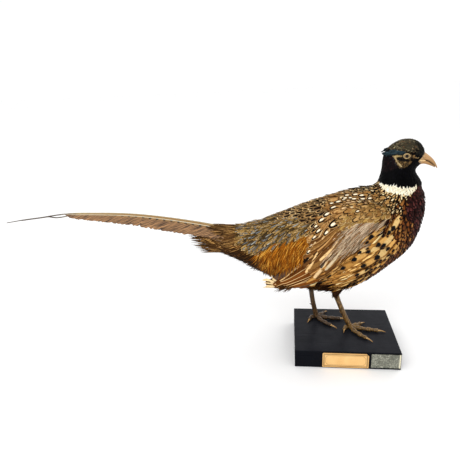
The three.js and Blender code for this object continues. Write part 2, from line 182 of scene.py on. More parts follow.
# %% Floor and lights
paper_white, tree, shader = blank_material("matt_white_backdrop_paper", Roughness=0.9)
shader.inputs["Base Color"].default_value = linear("#fcfcfc")
floor_mesh = bpy.data.meshes.new("floor")
floor_mesh.from_pydata([(-9, -9, 0), (9, -9, 0), (9, 9, 0), (-9, 9, 0)], [], [(0, 1, 2, 3)])
floor_mesh.materials.append(paper_white)
floor = bpy.data.objects.new("floor", floor_mesh)
bpy.context.scene.collection.objects.link(floor)
floor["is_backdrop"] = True

sky = bpy.data.worlds.new("soft_studio")
sky.use_nodes = True
sky.node_tree.nodes["Background"].inputs["Color"].default_value = (1, 1, 1, 1)
sky.node_tree.nodes["Background"].inputs["Strength"].default_value = 1.03
bpy.context.scene.world = sky
bpy.context.scene.view_settings.view_transform = "Standard"


def softbox(name, at, aim, size, watts):
    data = bpy.data.lights.new(name, "AREA")
    data.shape, data.size, data.energy = "DISK", size, watts
    lamp = bpy.data.objects.new(name, data)
    lamp.location = at
    lamp.rotation_euler = (Vector(aim) - Vector(at)).to_track_quat("-Z", "Y").to_euler()
    bpy.context.scene.collection.objects.link(lamp)
    return lamp


softbox("key_softbox", (-0.9, -1.3, 1.7), (-0.05, 0, 0.2), 1.1, 12)
softbox("rim_softbox", (1.1, 0.9, 1.5), (0.0, 0, 0.2), 0.9, 4)

# %% [markdown]
# ## Meshes from arrays
#
# Thousands of feathers would be slow to add one by one, so every piece is made from arrays of
# points and four-sided faces in one go. Attributes travel with the points and tell the material
# what each feather looks like. The map called OFBake gives each face a place of its own.

# %% Helpers for meshes
def piece_from(name, points, faces, finish, uv=None, numbers=None, smooth=True):
    mesh = bpy.data.meshes.new(name)
    faces = [np.asarray(f) for f in (faces if isinstance(faces, list) else [faces]) if len(f)]
    corners = np.concatenate([f.ravel() for f in faces]).astype(np.int32)
    sizes = np.concatenate([np.full(len(f), f.shape[1]) for f in faces])
    mesh.vertices.add(len(points))
    mesh.vertices.foreach_set("co", metres(points).astype(np.float32).ravel())
    mesh.loops.add(len(corners))
    mesh.loops.foreach_set("vertex_index", corners)
    mesh.polygons.add(len(sizes))
    mesh.polygons.foreach_set("loop_start", np.concatenate([[0], np.cumsum(sizes)[:-1]]).astype(np.int32))
    mesh.update(calc_edges=True)
    if uv is not None:
        layer = mesh.uv_layers.new(name="OFBake")
        spots = uv if len(uv) == len(corners) and len(uv) != len(points) else np.asarray(uv)[corners]
        layer.data.foreach_set("uv", np.asarray(spots, np.float32).ravel())
    for key, values in (numbers or {}).items():
        values = np.asarray(values, np.float32)
        kind = {1: "FLOAT", 3: "FLOAT_VECTOR", 4: "FLOAT_COLOR"}[1 if values.ndim == 1 else values.shape[1]]
        field = {"FLOAT": "value", "FLOAT_VECTOR": "vector", "FLOAT_COLOR": "color"}[kind]
        mesh.attributes.new(key, kind, "POINT").data.foreach_set(field, values.ravel())
    mesh.validate()
    mesh.shade_smooth() if smooth else mesh.shade_flat()
    mesh.materials.append(finish)
    piece = bpy.data.objects.new(name, mesh)
    bpy.context.scene.collection.objects.link(piece)
    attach(piece, "root")
    return piece


def tube(rings, closed_ends=True):
    """Faces between rings of points, with a fan over each end."""
    rings = np.asarray(rings, float)
    count, sides = rings.shape[:2]
    at = np.arange(count * sides).reshape(count, sides)
    quads = np.stack([at[:-1], np.roll(at, -1, 1)[:-1], np.roll(at, -1, 1)[1:], at[1:]], -1).reshape(-1, 4)
    points = rings.reshape(-1, 3)
    if not closed_ends:
        return points, [quads]
    points = np.vstack([points, rings[0].mean(0), rings[-1].mean(0)])
    low, high = count * sides, count * sides + 1
    fans = [(low, at[0][(j + 1) % sides], at[0][j]) for j in range(sides)]
    fans += [(high, at[-1][j], at[-1][(j + 1) % sides]) for j in range(sides)]
    return points, [quads, np.array(fans)]


def spline(knots, count):
    """Points evenly spread over a smooth line through the knots."""
    knots = np.asarray(knots, float)
    ends = np.vstack([2 * knots[0] - knots[1], knots, 2 * knots[-1] - knots[-2]])
    at = np.linspace(0, len(knots) - 1, count)
    i = np.minimum(at.astype(int), len(knots) - 2)
    t = (at - i)[:, None]
    a, b, c, d = ends[i], ends[i + 1], ends[i + 2], ends[i + 3]
    return 0.5 * (2 * b + (c - a) * t + (2 * a - 5 * b + 4 * c - d) * t ** 2 + (3 * b - a - 3 * c + d) * t ** 3)


def unit(v):
    return v / np.maximum(np.linalg.norm(v, axis=-1, keepdims=True), 1e-9)


print("a spline through 3 knots:", spline([(0, 0, 0), (1, 0, 1), (2, 0, 0)], 3).round(2).tolist())

# %% [markdown]
# ## The skin
#
# Under its feathers a mounted bird is one skin drawn over a form. The flesh solids are separate, so
# they are joined here by a voxel remesh, which keeps only the outer surface and closes the seams.
# The skin is then smoothed and moved inwards by the depth of the coat, so that the feathers laid
# over it end where the solids end.

# %% Join the flesh solids into one surface
FLESH = ["neck", "head", "trunk", "rump", "thigh_right", "thigh_left",
         "wing_right", "wing_left", "ear_tuft_right", "ear_tuft_left"]
points, faces = [], []
for name in FLESH:
    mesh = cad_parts[name].data
    start = sum(len(p) for p in points)
    points.append(bird_mm(mesh))
    faces += [[start + i for i in face.vertices] for face in mesh.polygons]
points = np.concatenate(points)
joined = bpy.data.meshes.new("joined_flesh")
joined.from_pydata(points.tolist(), [], faces)
shell = bpy.data.objects.new("joined_flesh", joined)
bpy.context.scene.collection.objects.link(shell)
remesh = shell.modifiers.new("one_skin", "REMESH")
remesh.mode, remesh.voxel_size = "VOXEL", 1.7
bpy.context.view_layer.update()
whole = bpy.data.meshes.new_from_object(shell.evaluated_get(bpy.context.evaluated_depsgraph_get()))
bpy.data.objects.remove(shell)
print("joined surface:", len(whole.vertices), "points")

# %% [markdown]
# The depth of the coat differs from place to place: short on the head, deep on the body, shallow
# over the folded wings. Regions of the bird are drawn as outlines in its side view, as on a plan
# for a mount, and one function says which points lie inside an outline.

# %% Depth of the coat, and the inset skin
def inside(outline, x, z):
    outline = np.asarray(outline, float)
    hit = np.zeros(len(x), bool)
    for (ax, az), (bx, bz) in zip(outline, np.roll(outline, -1, 0)):
        if az == bz:
            continue
        crosses = (az > z) != (bz > z)
        hit ^= crosses & (x < (bx - ax) * (z - az) / (bz - az) + ax)
    return hit


WING_PLAN = [(62, 254), (50, 264), (28, 271), (2, 270), (-24, 260), (-42, 240), (-57, 214), (-75, 188),
             (-98, 164), (-122, 142), (-138, 131), (-137, 120), (-121, 115), (-97, 117), (-70, 124),
             (-45, 138), (-24, 160), (-6, 185), (14, 208), (33, 226), (51, 232), (60.5, 246)]


def neighbours(mesh):
    edges = np.zeros(len(mesh.edges) * 2, np.int32)
    mesh.edges.foreach_get("vertices", edges)
    return edges.reshape(-1, 2)


def relaxed(values, edges, rounds, share=0.5):
    values = np.array(values, float)
    near = np.bincount(edges.ravel(), minlength=len(values)).clip(1)
    for _ in range(rounds):
        total = np.zeros_like(values)
        np.add.at(total, edges[:, 0], values[edges[:, 1]])
        np.add.at(total, edges[:, 1], values[edges[:, 0]])
        mean = total / (near if values.ndim == 1 else near[:, None])
        values += share * (mean - values)
    return values


def move_to(mesh, places):
    mesh.vertices.foreach_set("co", places.ravel())
    mesh.update()


edges = neighbours(whole)
spots = relaxed(read(whole), edges, 5)
move_to(whole, spots)
x, y, z = spots.T
depth = np.full(len(spots), 4.6)
depth[z > 288] = 2.4
depth[z > 318] = 1.4
depth[(z > 334) & (x < 78) & (abs(y) > 9)] = 0.8
depth[inside(WING_PLAN, x, z) & (abs(y) > 28)] = 2.8
depth[inside(WING_PLAN, x, z) & (x < -90) & (abs(y) > 20)] = 1.0
depth[x < -150] = 2.6
depth[x < -205] = 1.6
depth[(z < 112) & (abs(y) > 6)] = 1.6
depth = relaxed(depth, edges, 14)
spots = relaxed(spots - read(whole, "normal") * depth[:, None], edges, 3)
move_to(whole, spots)
coat_map = KDTree(len(spots))
for i, spot in enumerate(spots):
    coat_map.insert(spot, i)
coat_map.balance()
coat_depth = depth
print("coat depth from", depth.min().round(1), "to", depth.max().round(1), "mm")

# %% [markdown]
# ### Finer skin round the eyes
#
# The bare face of a cock pheasant is the part that people look at first. A remesh fine enough for
# its folds would be wasteful on the rest, so only the faces near each eye are divided further. The
# lids are then shaped there: the skin dips behind the eyeball and rises in a thin rim round it.

# %% Lids, brows and the folds of the face
import bmesh

EYES = {"right": np.array([84.0, -13.0, 335.8]), "left": np.array([84.0, 13.0, 335.8])}
EYEBALL = 5.8
FACE_PLAN = [(63.4, 337.6), (70, 338.6), (77, 339.2), (80, 341.2), (86, 342), (91, 340.2), (97, 338),
             (104.5, 333.5), (102.5, 330.5), (96, 330.5), (93.5, 326), (88, 321.5), (80, 318.6),
             (74, 319.2), (69.5, 326), (66.8, 332.5)]

sculpt = bmesh.new()
sculpt.from_mesh(whole)
for rounds, reach in ((1, 20.0), (1, 13.0)):
    close = []
    for edge in sculpt.edges:
        middle = (edge.verts[0].co + edge.verts[1].co) / 2
        if any((middle - Vector(at)).length < reach for at in EYES.values()):
            close.append(edge)
    bmesh.ops.subdivide_edges(sculpt, edges=close, cuts=1, use_grid_fill=True)
sculpt.to_mesh(whole)
sculpt.free()
whole.update()
spots, edges = read(whole), neighbours(whole)
near_eye = np.minimum(*(np.linalg.norm(spots - at, axis=1) for at in EYES.values())) < 17
smooth = relaxed(spots, edges, 3)
spots[near_eye] = smooth[near_eye]
move_to(whole, spots)
outward = read(whole, "normal")


def grain(points, size, seed=0):
    """Smooth bumps of about the given size, from a few crossed waves."""
    waves = np.random.default_rng(seed)
    total = np.zeros(len(points))
    for _ in range(10):
        way = unit(waves.normal(size=3)) * (2 * math.pi / size) * waves.uniform(0.7, 1.4)
        total += np.sin(points @ way + waves.uniform(0, 6.3))
    return total / 3.2


def eye_plane(side):
    """The way an eye looks, and the two directions across it."""
    out = unit(np.array([-0.06, 1.0 if side == "left" else -1.0, 0.05]))
    ahead = unit(np.array([1.0, 0, 0]) - out * out[0])
    over = unit(np.cross(ahead, out))
    return out, ahead, over * np.sign(over[2])


for side, centre in EYES.items():
    out, ahead, over = eye_plane(side)
    from_eye = spots - centre
    u, v, w = from_eye @ ahead, from_eye @ over, from_eye @ out
    tilt = math.radians(-8)
    u, v = u * math.cos(tilt) + v * math.sin(tilt), v * math.cos(tilt) - u * math.sin(tilt)
    rho = np.sqrt((u / 5.4) ** 2 + (v / np.where(v > 0, 3.7, 4.0)) ** 2)
    rim = np.sqrt(np.maximum(EYEBALL ** 2 - np.minimum(np.hypot(u, v), 5.5) ** 2, 0)) + 0.3
    here = (w > -2) & (rho < 2.2)
    lid = np.interp(rho, [0, 0.9, 1.0, 1.12, 1.3, 1.55, 2.2], [0, 0, 1, 1, 0.85, 0.45, 0])
    raised = rim + 0.9 * np.exp(-((rho - 1.14) / 0.12) ** 2)
    target = np.where(rho < 0.95, -1.5, raised)
    blend = np.where(rho < 0.95, 1.0, lid)
    move = np.where(here, (target - w) * blend, 0)
    brow = here * (v > 3.6) * np.exp(-((rho - 1.5) / 0.22) ** 2) * 0.7
    spots += out * (move + brow)[:, None]
x, y, z = spots.T
bare = inside(FACE_PLAN, x, z) & (abs(y) > 9) & near_eye
fold = relaxed(bare.astype(float), edges, 4)
spots += outward * (fold * (0.22 * grain(spots, 2.1, 1) + 0.16 * grain(spots, 1.1, 2)))[:, None]
move_to(whole, spots)
print("points on the bare face:", int(bare.sum()), "of", len(spots))

# %% [markdown]
# ## Where each kind of feather grows
#
# A bird's feathers grow in tracts, each with its own size, shape and marking. The outlines below
# are the tracts in the side view, in millimetres, and both sides of the bird share them. The first
# outline that holds a point wins, and what no outline holds is decided by height and place.

# %% Outlines of the feather tracts
TRACTS = [
    ("cere", [(111.5, 340.5), (109.6, 336.5), (107.6, 333), (105, 330.5), (102.5, 328.6), (103.5, 326.4),
        (106.5, 323.4), (110.5, 320), (130, 318), (130, 342)]),
    ("face", FACE_PLAN),
    ("tuft", [(44, 334), (56, 337.2), (66, 338.3), (78, 339.2), (78, 343), (72, 344.6), (66, 345.3),
        (44, 345.3)]),
    ("ring", [(50.5, 291.5), (56, 293), (63, 293), (71, 293), (79, 291.2), (87, 290.4), (96, 290.2),
        (100.5, 291), (101.5, 288.5), (96, 284), (89, 280), (75, 279.4), (63, 282), (55.5, 285.6)]),
    ("forehead", [(97, 337), (101, 344), (103, 352), (106, 370), (130, 370), (125, 336), (104, 336)]),
    ("crown", [(30, 343), (60, 344.6), (70, 344.8), (78, 342.8), (84, 342), (91, 341), (97, 338), (101, 345),
        (103, 352), (106, 370), (30, 370)]),
    ("nape", [(46, 308), (58, 313), (70, 318), (70, 327), (64, 338), (44, 338)]),
    ("throat", [(112, 298), (106, 308), (98, 303), (101, 292), (130, 292), (130, 300)]),
    ("neck", [(30, 302), (46.5, 301), (50, 294), (56, 293), (79, 291), (101, 290.5), (130, 292), (140, 372),
        (30, 372)]),
    ("breast_front", [(101, 295), (99, 286), (86, 277), (83, 264), (85, 250), (95, 236), (102, 214), (95, 198),
        (88, 180), (77, 160), (60, 138), (70, 120), (140, 130), (140, 295)]),
    ("breast_side", [(100, 288), (84, 276), (75, 266), (77, 250), (62, 249), (55, 240), (49, 229), (57, 226),
        (64, 216), (66, 202), (58, 187), (50, 171), (38, 155), (22, 139), (20, 122), (60, 122), (60, 138),
        (77, 160), (88, 180), (95, 198), (102, 214), (95, 236), (85, 250), (83, 264), (86, 277), (99, 286)]),
    ("mantle", [(30, 304), (46.5, 303), (50.5, 294), (50.5, 288), (57, 284), (65, 281), (78, 279), (93, 281.5),
        (101, 287), (84, 276), (75, 266), (78, 252), (64, 250), (54, 259), (42, 266), (28, 272), (6, 276),
        (-14, 275), (-22, 290), (30, 312)]),
    ("grey_covert", [(63, 248), (42, 247), (11, 241), (-15, 234), (-21, 217), (-10, 196), (10, 196), (22, 206),
        (29, 214), (24, 218), (28, 231), (52, 230), (60, 236)]),
    ("flank_front", [(57, 226), (49, 226), (50, 215), (48, 200), (42, 184), (32, 168), (20, 152), (10, 138),
        (8, 122), (22, 122), (22, 139), (38, 155), (50, 171), (58, 187), (66, 202), (64, 216)]),
    ("flank", [(49, 228), (34, 229), (22, 223), (16, 206), (5, 195), (-7, 186), (-17, 172), (-33, 167),
        (-42, 156), (-43, 138), (-34, 124), (-11, 114), (8, 117), (10, 138), (20, 152), (32, 168), (42, 184),
        (48, 200), (50, 215)]),
    ("tan_covert", [(60, 258), (46, 263), (32, 266), (14, 266), (-3, 258), (-19, 243), (-15, 233), (11, 241),
        (42, 247), (63, 249)]),
    ("shoulder", [(8, 279), (-10, 276), (-16, 268), (-10, 261), (2, 262), (14, 266), (32, 268), (46, 264),
        (36, 274), (22, 278)]),
    ("scapular", [(8, 279), (-10, 276), (-24, 268), (-38, 254), (-48, 238), (-56, 222), (-60, 210), (-50, 206),
        (-32, 224), (-19, 243), (-3, 258), (14, 266), (32, 268), (46, 264), (36, 274), (22, 278)]),
    ("wing_inner", [(-12, 222), (-15, 233), (-19, 243), (-32, 224), (-47, 205), (-58, 186), (-68, 190),
        (-80, 172), (-98, 158), (-122, 140), (-138, 131), (-138, 116), (-97, 114), (-60, 124), (-38, 138),
        (-39, 151), (-31, 163), (-17, 172), (-7, 186), (5, 195), (16, 206), (4, 220)]),
    ("back", [(8, 300), (8, 278), (-10, 276), (-24, 268), (-38, 254), (-48, 238), (-54, 226), (-62, 228),
        (-68, 238), (-84, 240), (-102, 237), (-120, 237), (-140, 236), (-140, 260), (-60, 300)]),
    ("rump", [(-55, 227), (-68, 239), (-84, 241), (-102, 238), (-120, 238), (-142, 236), (-180, 226),
        (-180, 200), (-164, 184), (-146, 182), (-126, 196), (-104, 206), (-88, 212), (-74, 216)]),
    ("rust", [(-50, 228), (-74, 217), (-88, 213), (-104, 207), (-126, 197), (-146, 183), (-146, 168),
        (-138, 152), (-130, 140), (-112, 132), (-92, 150), (-75, 176), (-62, 192), (-56, 212)]),
    ("under_rump", [(-146, 183), (-164, 185), (-180, 190), (-205, 178), (-215, 160), (-215, 140), (-130, 118),
        (-112, 132), (-130, 140), (-138, 152), (-146, 168)]),
]


def tract_of(points, ragged=0.0):
    """The tract's name at each point. ragged moves the outlines by up to so many millimetres."""
    x, y, z = np.asarray(points, float).T
    if ragged:
        x = x + ragged * grain(points, 9, 3)
        z = z + ragged * grain(points, 9, 4)
    name = np.full(len(x), "belly", dtype=object)
    name[(z < 118) & (x > -75) & (x < 35)] = "thigh"
    name[x < -165] = "tail_covert"
    name[(z > 150) & (x > -165) & (x < 10) & (name == "belly")] = "back"
    free = np.ones(len(x), bool)
    for tract, outline in TRACTS:
        here = free & inside(outline, x, z)
        if tract == "face":
            here &= abs(y) > 9
        if tract == "tuft":
            here &= abs(y) > 7
        if tract in ("flank", "flank_front", "rust", "wing_inner", "grey_covert"):
            here &= abs(y) > 14
        name[here] = tract
        free &= ~here
    return name


share = {t: int((tract_of(spots) == t).sum()) for t in ("neck", "mantle", "flank", "back", "belly")}
print("skin points in some tracts:", share)

# %% [markdown]
# ## The lie of the coat
#
# Feathers are not laid at random: they sweep back from the bill, round the shoulders and down the
# flanks. A taxidermist combs them along a few main lines and lets the rest follow. Here a short
# list of directions does the same, each at a place in the side view, and every feather takes a
# weighted mean of those near it, laid flat on the skin.

# %% Directions of the coat
LIE = np.array([  # x, z, and the way the feathers point there
    (112, 350, -1, 0.5), (95, 357, -1, 0.0), (75, 356, -1, -0.3), (60, 346, -1, -0.25), (80, 330, -0.8, -0.5),
    (106, 318, -0.6, -0.8), (98, 308, -0.2, -1), (75, 318, -0.45, -1), (55, 320, -0.15, -1),
    (105, 300, 0.1, -1), (75, 298, -0.15, -1), (52, 300, -0.5, -1), (85, 284, -0.25, -1), (60, 284, -0.6, -1),
    (40, 284, -1, -0.35), (60, 268, -0.9, -0.75), (118, 240, -0.1, -1), (108, 270, 0.05, -1),
    (92, 235, -0.45, -1), (80, 260, -0.6, -1), (100, 190, -0.7, -0.9), (80, 160, -1, -0.7),
    (68, 205, -0.75, -0.9), (40, 200, -1, -0.34), (10, 170, -1, -0.25), (-15, 150, -1, -0.2), (30, 216, -1, -0.3),
    (40, 118, -1, -0.3), (0, 108, -1, -0.1), (30, 256, -0.95, -0.35), (0, 252, -0.9, -0.45),
    (40, 240, -0.8, -0.6), (20, 234, -0.62, -0.78), (0, 228, -0.6, -0.8), (-10, 262, -0.85, -0.5),
    (-30, 240, -0.6, -0.8), (-55, 205, -0.55, -0.85),
    (10, 276, -1, -0.2), (-30, 268, -1, -0.35), (-60, 250, -0.95, -0.45), (-90, 240, -0.95, -0.4),
    (-90, 215, -0.5, -0.87), (-110, 180, -0.15, -1), (-80, 190, -0.08, -1), (-130, 170, -0.35, -1),
    (-95, 150, -0.15, -1), (-120, 150, -0.3, -1),
    (-125, 212, -0.75, -0.75), (-150, 195, -0.8, -0.7), (-95, 165, -0.1, -1), (-160, 215, -1, -0.4),
    (-205, 215, -1, 0.12), (-208, 188, -1, 0.35),
    (-170, 175, -1, -0.35), (-60, 108, -0.9, -0.5), (-40, 130, -0.9, -0.35), (-110, 130, -1, -0.25),
], float)


def lie_at(points, normals):
    gap = (points[:, None, 0] - LIE[None, :, 0]) ** 2 + (points[:, None, 2] - LIE[None, :, 1]) ** 2
    weight = 1 / (gap + 90) ** 1.6
    flow = weight @ unit(LIE[:, 2:]) / weight.sum(1, keepdims=True)
    flow = np.stack([flow[:, 0], 0.0 * flow[:, 0], flow[:, 1]], 1)
    flow -= normals * (flow * normals).sum(1, keepdims=True)
    return unit(flow)


print("lie on the crown:", lie_at(np.array([[80.0, 0, 357]]), np.array([[0.0, 0, 1]])).round(2))

# %% [markdown]
# ## A place on the texture for everything
#
# Colours can be baked to images through the map called OFBake. The
# skin is unrolled like a sleeve: one direction runs from tail to bill along the middle of the body,
# the other runs round it. Every feather gets a tiny patch of its own at its root's place on that
# sleeve, in the nearest cell that is still free.

# %% The sleeve and its cells
AXIS = np.array([(-234, 206), (-166, 190), (-126, 186), (-89, 185), (-51, 187), (-16, 190), (13, 202),
                 (45, 226), (72, 250), (84, 280), (80, 305), (84, 335), (114, 335)], float)


def sleeve(points):
    points = np.asarray(points, float)
    best, along, turn = np.full(len(points), 1e9), np.zeros(len(points)), np.zeros(len(points))
    run, total = 0.0, np.linalg.norm(np.diff(AXIS, axis=0), axis=1).sum()
    for a, b in zip(AXIS, AXIS[1:]):
        length = np.linalg.norm(b - a)
        way = (b - a) / length
        rel = points[:, [0, 2]] - a
        step = np.clip(rel @ way, 0, length)
        gap = np.linalg.norm(rel - step[:, None] * way, axis=1)
        over = rel @ np.array([-way[1], way[0]])
        near = gap < best
        best[near], along[near] = gap[near], (run + step[near]) / total
        turn[near] = np.arctan2(points[near, 1], over[near]) / (2 * math.pi) + 0.5
        run += length
    return np.stack([0.02 + 0.96 * along, 0.02 + 0.96 * turn], 1)


CELL, PATCH = 0.0045, 0.0034


def free_cells(places):
    taken, corner = set(), np.zeros_like(places)
    ring = sorted(((i, j) for i in range(-40, 41) for j in range(-40, 41)), key=lambda c: c[0] ** 2 + c[1] ** 2)
    for n, at in enumerate(np.floor(places / CELL).astype(int)):
        for i, j in ring:
            cell = (at[0] + i, at[1] + j)
            if cell not in taken and 0 <= cell[0] < 220 and 0 <= cell[1] < 220:
                taken.add(cell)
                corner[n] = cell
                break
    return corner * CELL + 0.0005


print("the bill's place on the sleeve:", sleeve([(112, 0, 340)]).round(2).tolist())

# %% [markdown]
# ## The skin itself
#
# Tanned skin shows only where the feathers are thin: on the face, under the belly and between the
# thighs. It takes the colour of the tract above it, darker as painted shade deep in the coat, so that
# no pale gap shines through.
# The face is bare: in life it is a red wattle, and on an old mount it dries to cream and brown with
# fine dark pits. Its colours follow the same outlines.

# %% Tone of the skin
# Each tract's skin is its feathers' colour made darker, as painted shade deep in the coat; the face and the cere
# are the bare skin's own colours.
SKIN_TONE = {"neck": "#0b0a10", "nape": "#140d12", "throat": "#0c0a0d", "ring": "#c9bfa0",
             "crown": "#3d3a30", "forehead": "#151515", "tuft": "#141b1e", "mantle": "#4a3719",
             "breast_front": "#2a120f", "breast_side": "#4c2c12", "flank_front": "#7c5527",
             "flank": "#7d5a2a", "grey_covert": "#8f8068", "tan_covert": "#7d5c33",
             "shoulder": "#5c4024", "scapular": "#5c4024", "wing_inner": "#5a3a1c", "back": "#33261a",
             "rump": "#4a3a22",
             "rust": "#54300c", "under_rump": "#2e1c0c", "tail_covert": "#3f2c16",
             "belly": "#26130c", "thigh": "#2f1c10", "face": "#8a6e4c", "cere": "#c39a68"}


def tone(names, table):
    colours = {name: linear(code) for name, code in table.items()}
    return np.array([colours[name] for name in names])


print("tracts with a skin tone:", len(SKIN_TONE))

# %% [markdown]
# The bare face is painted in soft lines laid over a mottled ground, because the folds of dried skin
# run as strips and cords: cream ones behind and before the eye, and dark ones between them.

# %% Colours of the face
def painted(colour, code, amount):
    """One colour laid over others, by an amount from 0 to 1 at each point."""
    return colour * (1 - amount) + np.array(linear(code)) * amount


def near_line(points, knots, wide):
    """How near each point is to a line in the side view: 1 on it, 0 beyond its width."""
    x, z = points[:, 0], points[:, 2]
    best = np.full(len(x), 99.0)
    for (ax, az), (bx, bz) in zip(knots, knots[1:]):
        t = np.clip(((x - ax) * (bx - ax) + (z - az) * (bz - az)) / ((bx - ax) ** 2 + (bz - az) ** 2), 0, 1)
        best = np.minimum(best, np.hypot(x - ax - t * (bx - ax), z - az - t * (bz - az)))
    return np.clip((wide * 1.25 - best) / (wide * 0.5), 0, 1)[:, None]


def face_tone(points):
    """The dried face: cream strips behind and before the eye, a mottled cheek, and a black band."""
    rough = points + 0.3 * np.stack([grain(points, 2.2, 11), 0 * points[:, 0], grain(points, 2.2, 12)], 1)
    mottle = np.clip(0.42 + 0.55 * grain(points, 1.9, 5) + 0.35 * grain(points, 1.0, 6), 0, 1)[:, None]
    mottle = mottle ** 1.8 * np.clip((points[:, 2] - 316.5) / 5, 0.15, 1)[:, None]
    colour = painted(np.array(linear("#0d0806")), "#a8834f", mottle)
    for knots, wide, code in (
            (((89.5, 325.5), (92, 328), (93.5, 331), (94.5, 334)), 1.1, "#8a6a42"),
            (((91.5, 336.4), (95, 335.8), (98.5, 334.2), (102, 332.4)), 1.5, "#b18a58"),
            (((98.5, 334.6), (102.2, 332.8)), 0.8, "#dcbd84")):
        near = near_line(rough, knots, wide)
        colour = colour * (1 - near) + np.array(linear(code)) * near * (0.75 + 0.35 * mottle)
    for knots, wide in ((((71.5, 333.2), (73, 331.5), (76, 330.3), (81, 329.8), (86.5, 329.2), (91, 330.8),
                          (92.8, 333.5)), 1.45),
                        (((72, 333.3), (78, 332.2)), 1.5), (((92.5, 334), (93, 337)), 0.8),
                        (((94, 329.5), (98, 329.5), (103, 329.2)), 2.7), (((96, 325), (93, 321)), 2.0)):
        near = near_line(rough, knots, wide)
        colour = painted(colour, "#090605", near)
    for knots, wide, code in (
            (((64.0, 337.6), (67.7, 334.6), (69.6, 330.8), (71.8, 327.0), (74.2, 323.4), (76.6, 321.2)), 0.95,
             "#d9bd88"),
            (((64, 337.7), (67.3, 337.0), (71.7, 336.6), (76.2, 336.2)), 1.1, "#dcbd7c"),
            (((66, 336.8), (70, 335.2)), 1.0, "#d8bc84")):
        near = near_line(rough, knots, wide)
        colour = colour * (1 - near) + np.array(linear(code)) * near * (0.85 + 0.15 * mottle)
    return colour


print("a cream strip lies on its own line:", near_line(np.array([[70.0, 0, 330]]), ((70, 330), (71, 329)), 1.0))

# %% [markdown]
# The skin's mesh has faces with three and with four corners. Each corner gets its place on the
# sleeve, and a face that crosses the sleeve's seam is kept on one side of it.

# %% Skin mesh and its finish
face_counts = np.array([len(p.vertices) for p in whole.polygons])
corner_points = np.zeros(len(whole.loops), np.int32)
whole.loops.foreach_get("vertex_index", corner_points)
starts = np.concatenate([[0], np.cumsum(face_counts)[:-1]])
skin_faces = [corner_points[starts[face_counts == n][:, None] + np.arange(n)] for n in sorted(set(face_counts))]
skin_uv = sleeve(spots)
map_uv = []
for block in skin_faces:
    corner_uv = skin_uv[block]
    torn = np.ptp(corner_uv[:, :, 1], axis=1) > 0.5
    corner_uv[torn, :, 1] = np.where(corner_uv[torn, :, 1] < 0.5, 0.985, corner_uv[torn, :, 1])
    map_uv.append(corner_uv.reshape(-1, 2))
tracts = tract_of(spots)
skin_colour = tone(tracts, SKIN_TONE)
skin_colour[tracts == "face"] = face_tone(spots[tracts == "face"])
skin_colour = relaxed(skin_colour, edges, 1)
# A dark ring round each eye: partly the dried lid's own dark edge, partly painted shade where the lid meets the
# glass.
for centre in EYES.values():
    from_eye = spots - centre
    ring_gap = np.hypot((spots[:, 0] - centre[0]) / 7.6, (spots[:, 2] - centre[2]) / 5.6)
    lid_edge_and_shade = (np.exp(-((ring_gap - 0.98) / 0.2) ** 2) * (from_eye[:, 1] * centre[1] > 0))[:, None]
    skin_colour = painted(skin_colour, "#0d0907", lid_edge_and_shade)

tanned_skin, tree, shader = blank_material("tanned_bird_skin", Roughness=0.62, IOR=1.45)
markings = put(tree, "Attribute", attribute_name="markings")
where = put(tree, "TexCoord")
pits = put(tree, "TexNoise", {"Vector": where.outputs["Object"], "Scale": 620.0, "Detail": 3.0})
mottled = put(tree, "MapRange", {"Value": pits, 1: 0.35, 2: 0.65, 3: 0.35, 4: 1.25})
tinted = put(tree, "Mix", {0: 1.0, 6: markings, 7: mottled},
             **TIMES)
relief = put(tree, "Bump", {"Height": pits, "Distance": 0.0002, "Strength": 0.6})
feed(tree, tinted, shader.inputs["Base Color"])
feed(tree, relief, shader.inputs["Normal"])
skin = piece_from("skin", spots, skin_faces, tanned_skin, np.concatenate(map_uv),
                  {"markings": skin_colour})
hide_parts(*FLESH)
print("skin faces:", len(skin.data.polygons))

# %% [markdown]
# ## The cut of a feather
#
# A contour feather is a shaft with a vane on both sides, and the vane ends in a rounded or pointed
# tip. One flat pattern of points serves all feathers of a kind: s runs across the vane from -1 to
# 1, and t runs from root to tip. A third number says how far a point lies inside the feather's
# edge, which is what its markings follow, because a feather's bands run parallel to its outline.

# %% Feather patterns
class Cut:
    def __init__(self, across, along, reach):
        self.s, self.t = np.array(across), np.array(along)
        self.edge = np.minimum(1 - abs(self.s)[None], ((1 - self.t) / reach)[:, None]).clip(0, 1)
        rows, cols = len(self.t), len(self.s)
        at = np.arange(rows * cols).reshape(rows, cols)
        self.faces = np.stack([at[:-1, :-1], at[:-1, 1:], at[1:, 1:], at[1:, :-1]], -1).reshape(-1, 4)


CUTS = {
    "vane": Cut([-1, -0.62, -0.3, 0, 0.3, 0.62, 1], [0, 0.22, 0.42, 0.58, 0.7, 0.8, 0.88, 0.95, 1], 0.34),
    "small": Cut([-1, -0.45, 0.45, 1], [0, 0.3, 0.6, 0.8, 1], 0.4),
    "lock": Cut([-1, 0, 1], [0, 0.18, 0.36, 0.54, 0.7, 0.84, 0.94, 1], 0.3),
}


def width_along(t, tip):
    """Share of the full half width: a narrow root, a full middle, and a round or a pointed tip."""
    rise = np.clip(0.35 + 0.65 * t / 0.45, 0, 1)
    blunt = np.sqrt(np.clip(1 - (np.clip(t - 0.62, 0, 1) / 0.38) ** 2, 0, 1))
    sharp = 1 - np.clip((t - 0.35) / 0.65, 0, 1) ** 1.25
    return rise * np.maximum(blunt * (1 - tip) + sharp * tip, 0.07)


print("faces in one contour feather:", len(CUTS["vane"].faces))

# %% [markdown]
# ## What grows where
#
# This table is the plumage. gap is the distance between roots, long and half are a feather's length
# and half its width, tip is 0 for round and 1 for pointed, and stand is how far the tip rises off
# its neighbours. heart, band and rim are the colours from the middle of a feather to its edge, each
# a short list to choose from, and at gives where band and rim begin, measured from the edge. mark
# is a spot at the tip: its colour, where it lies along the feather, and its half length and half
# width; marked is the share of feathers that have one. toss is how far the feathers are turned at
# random.

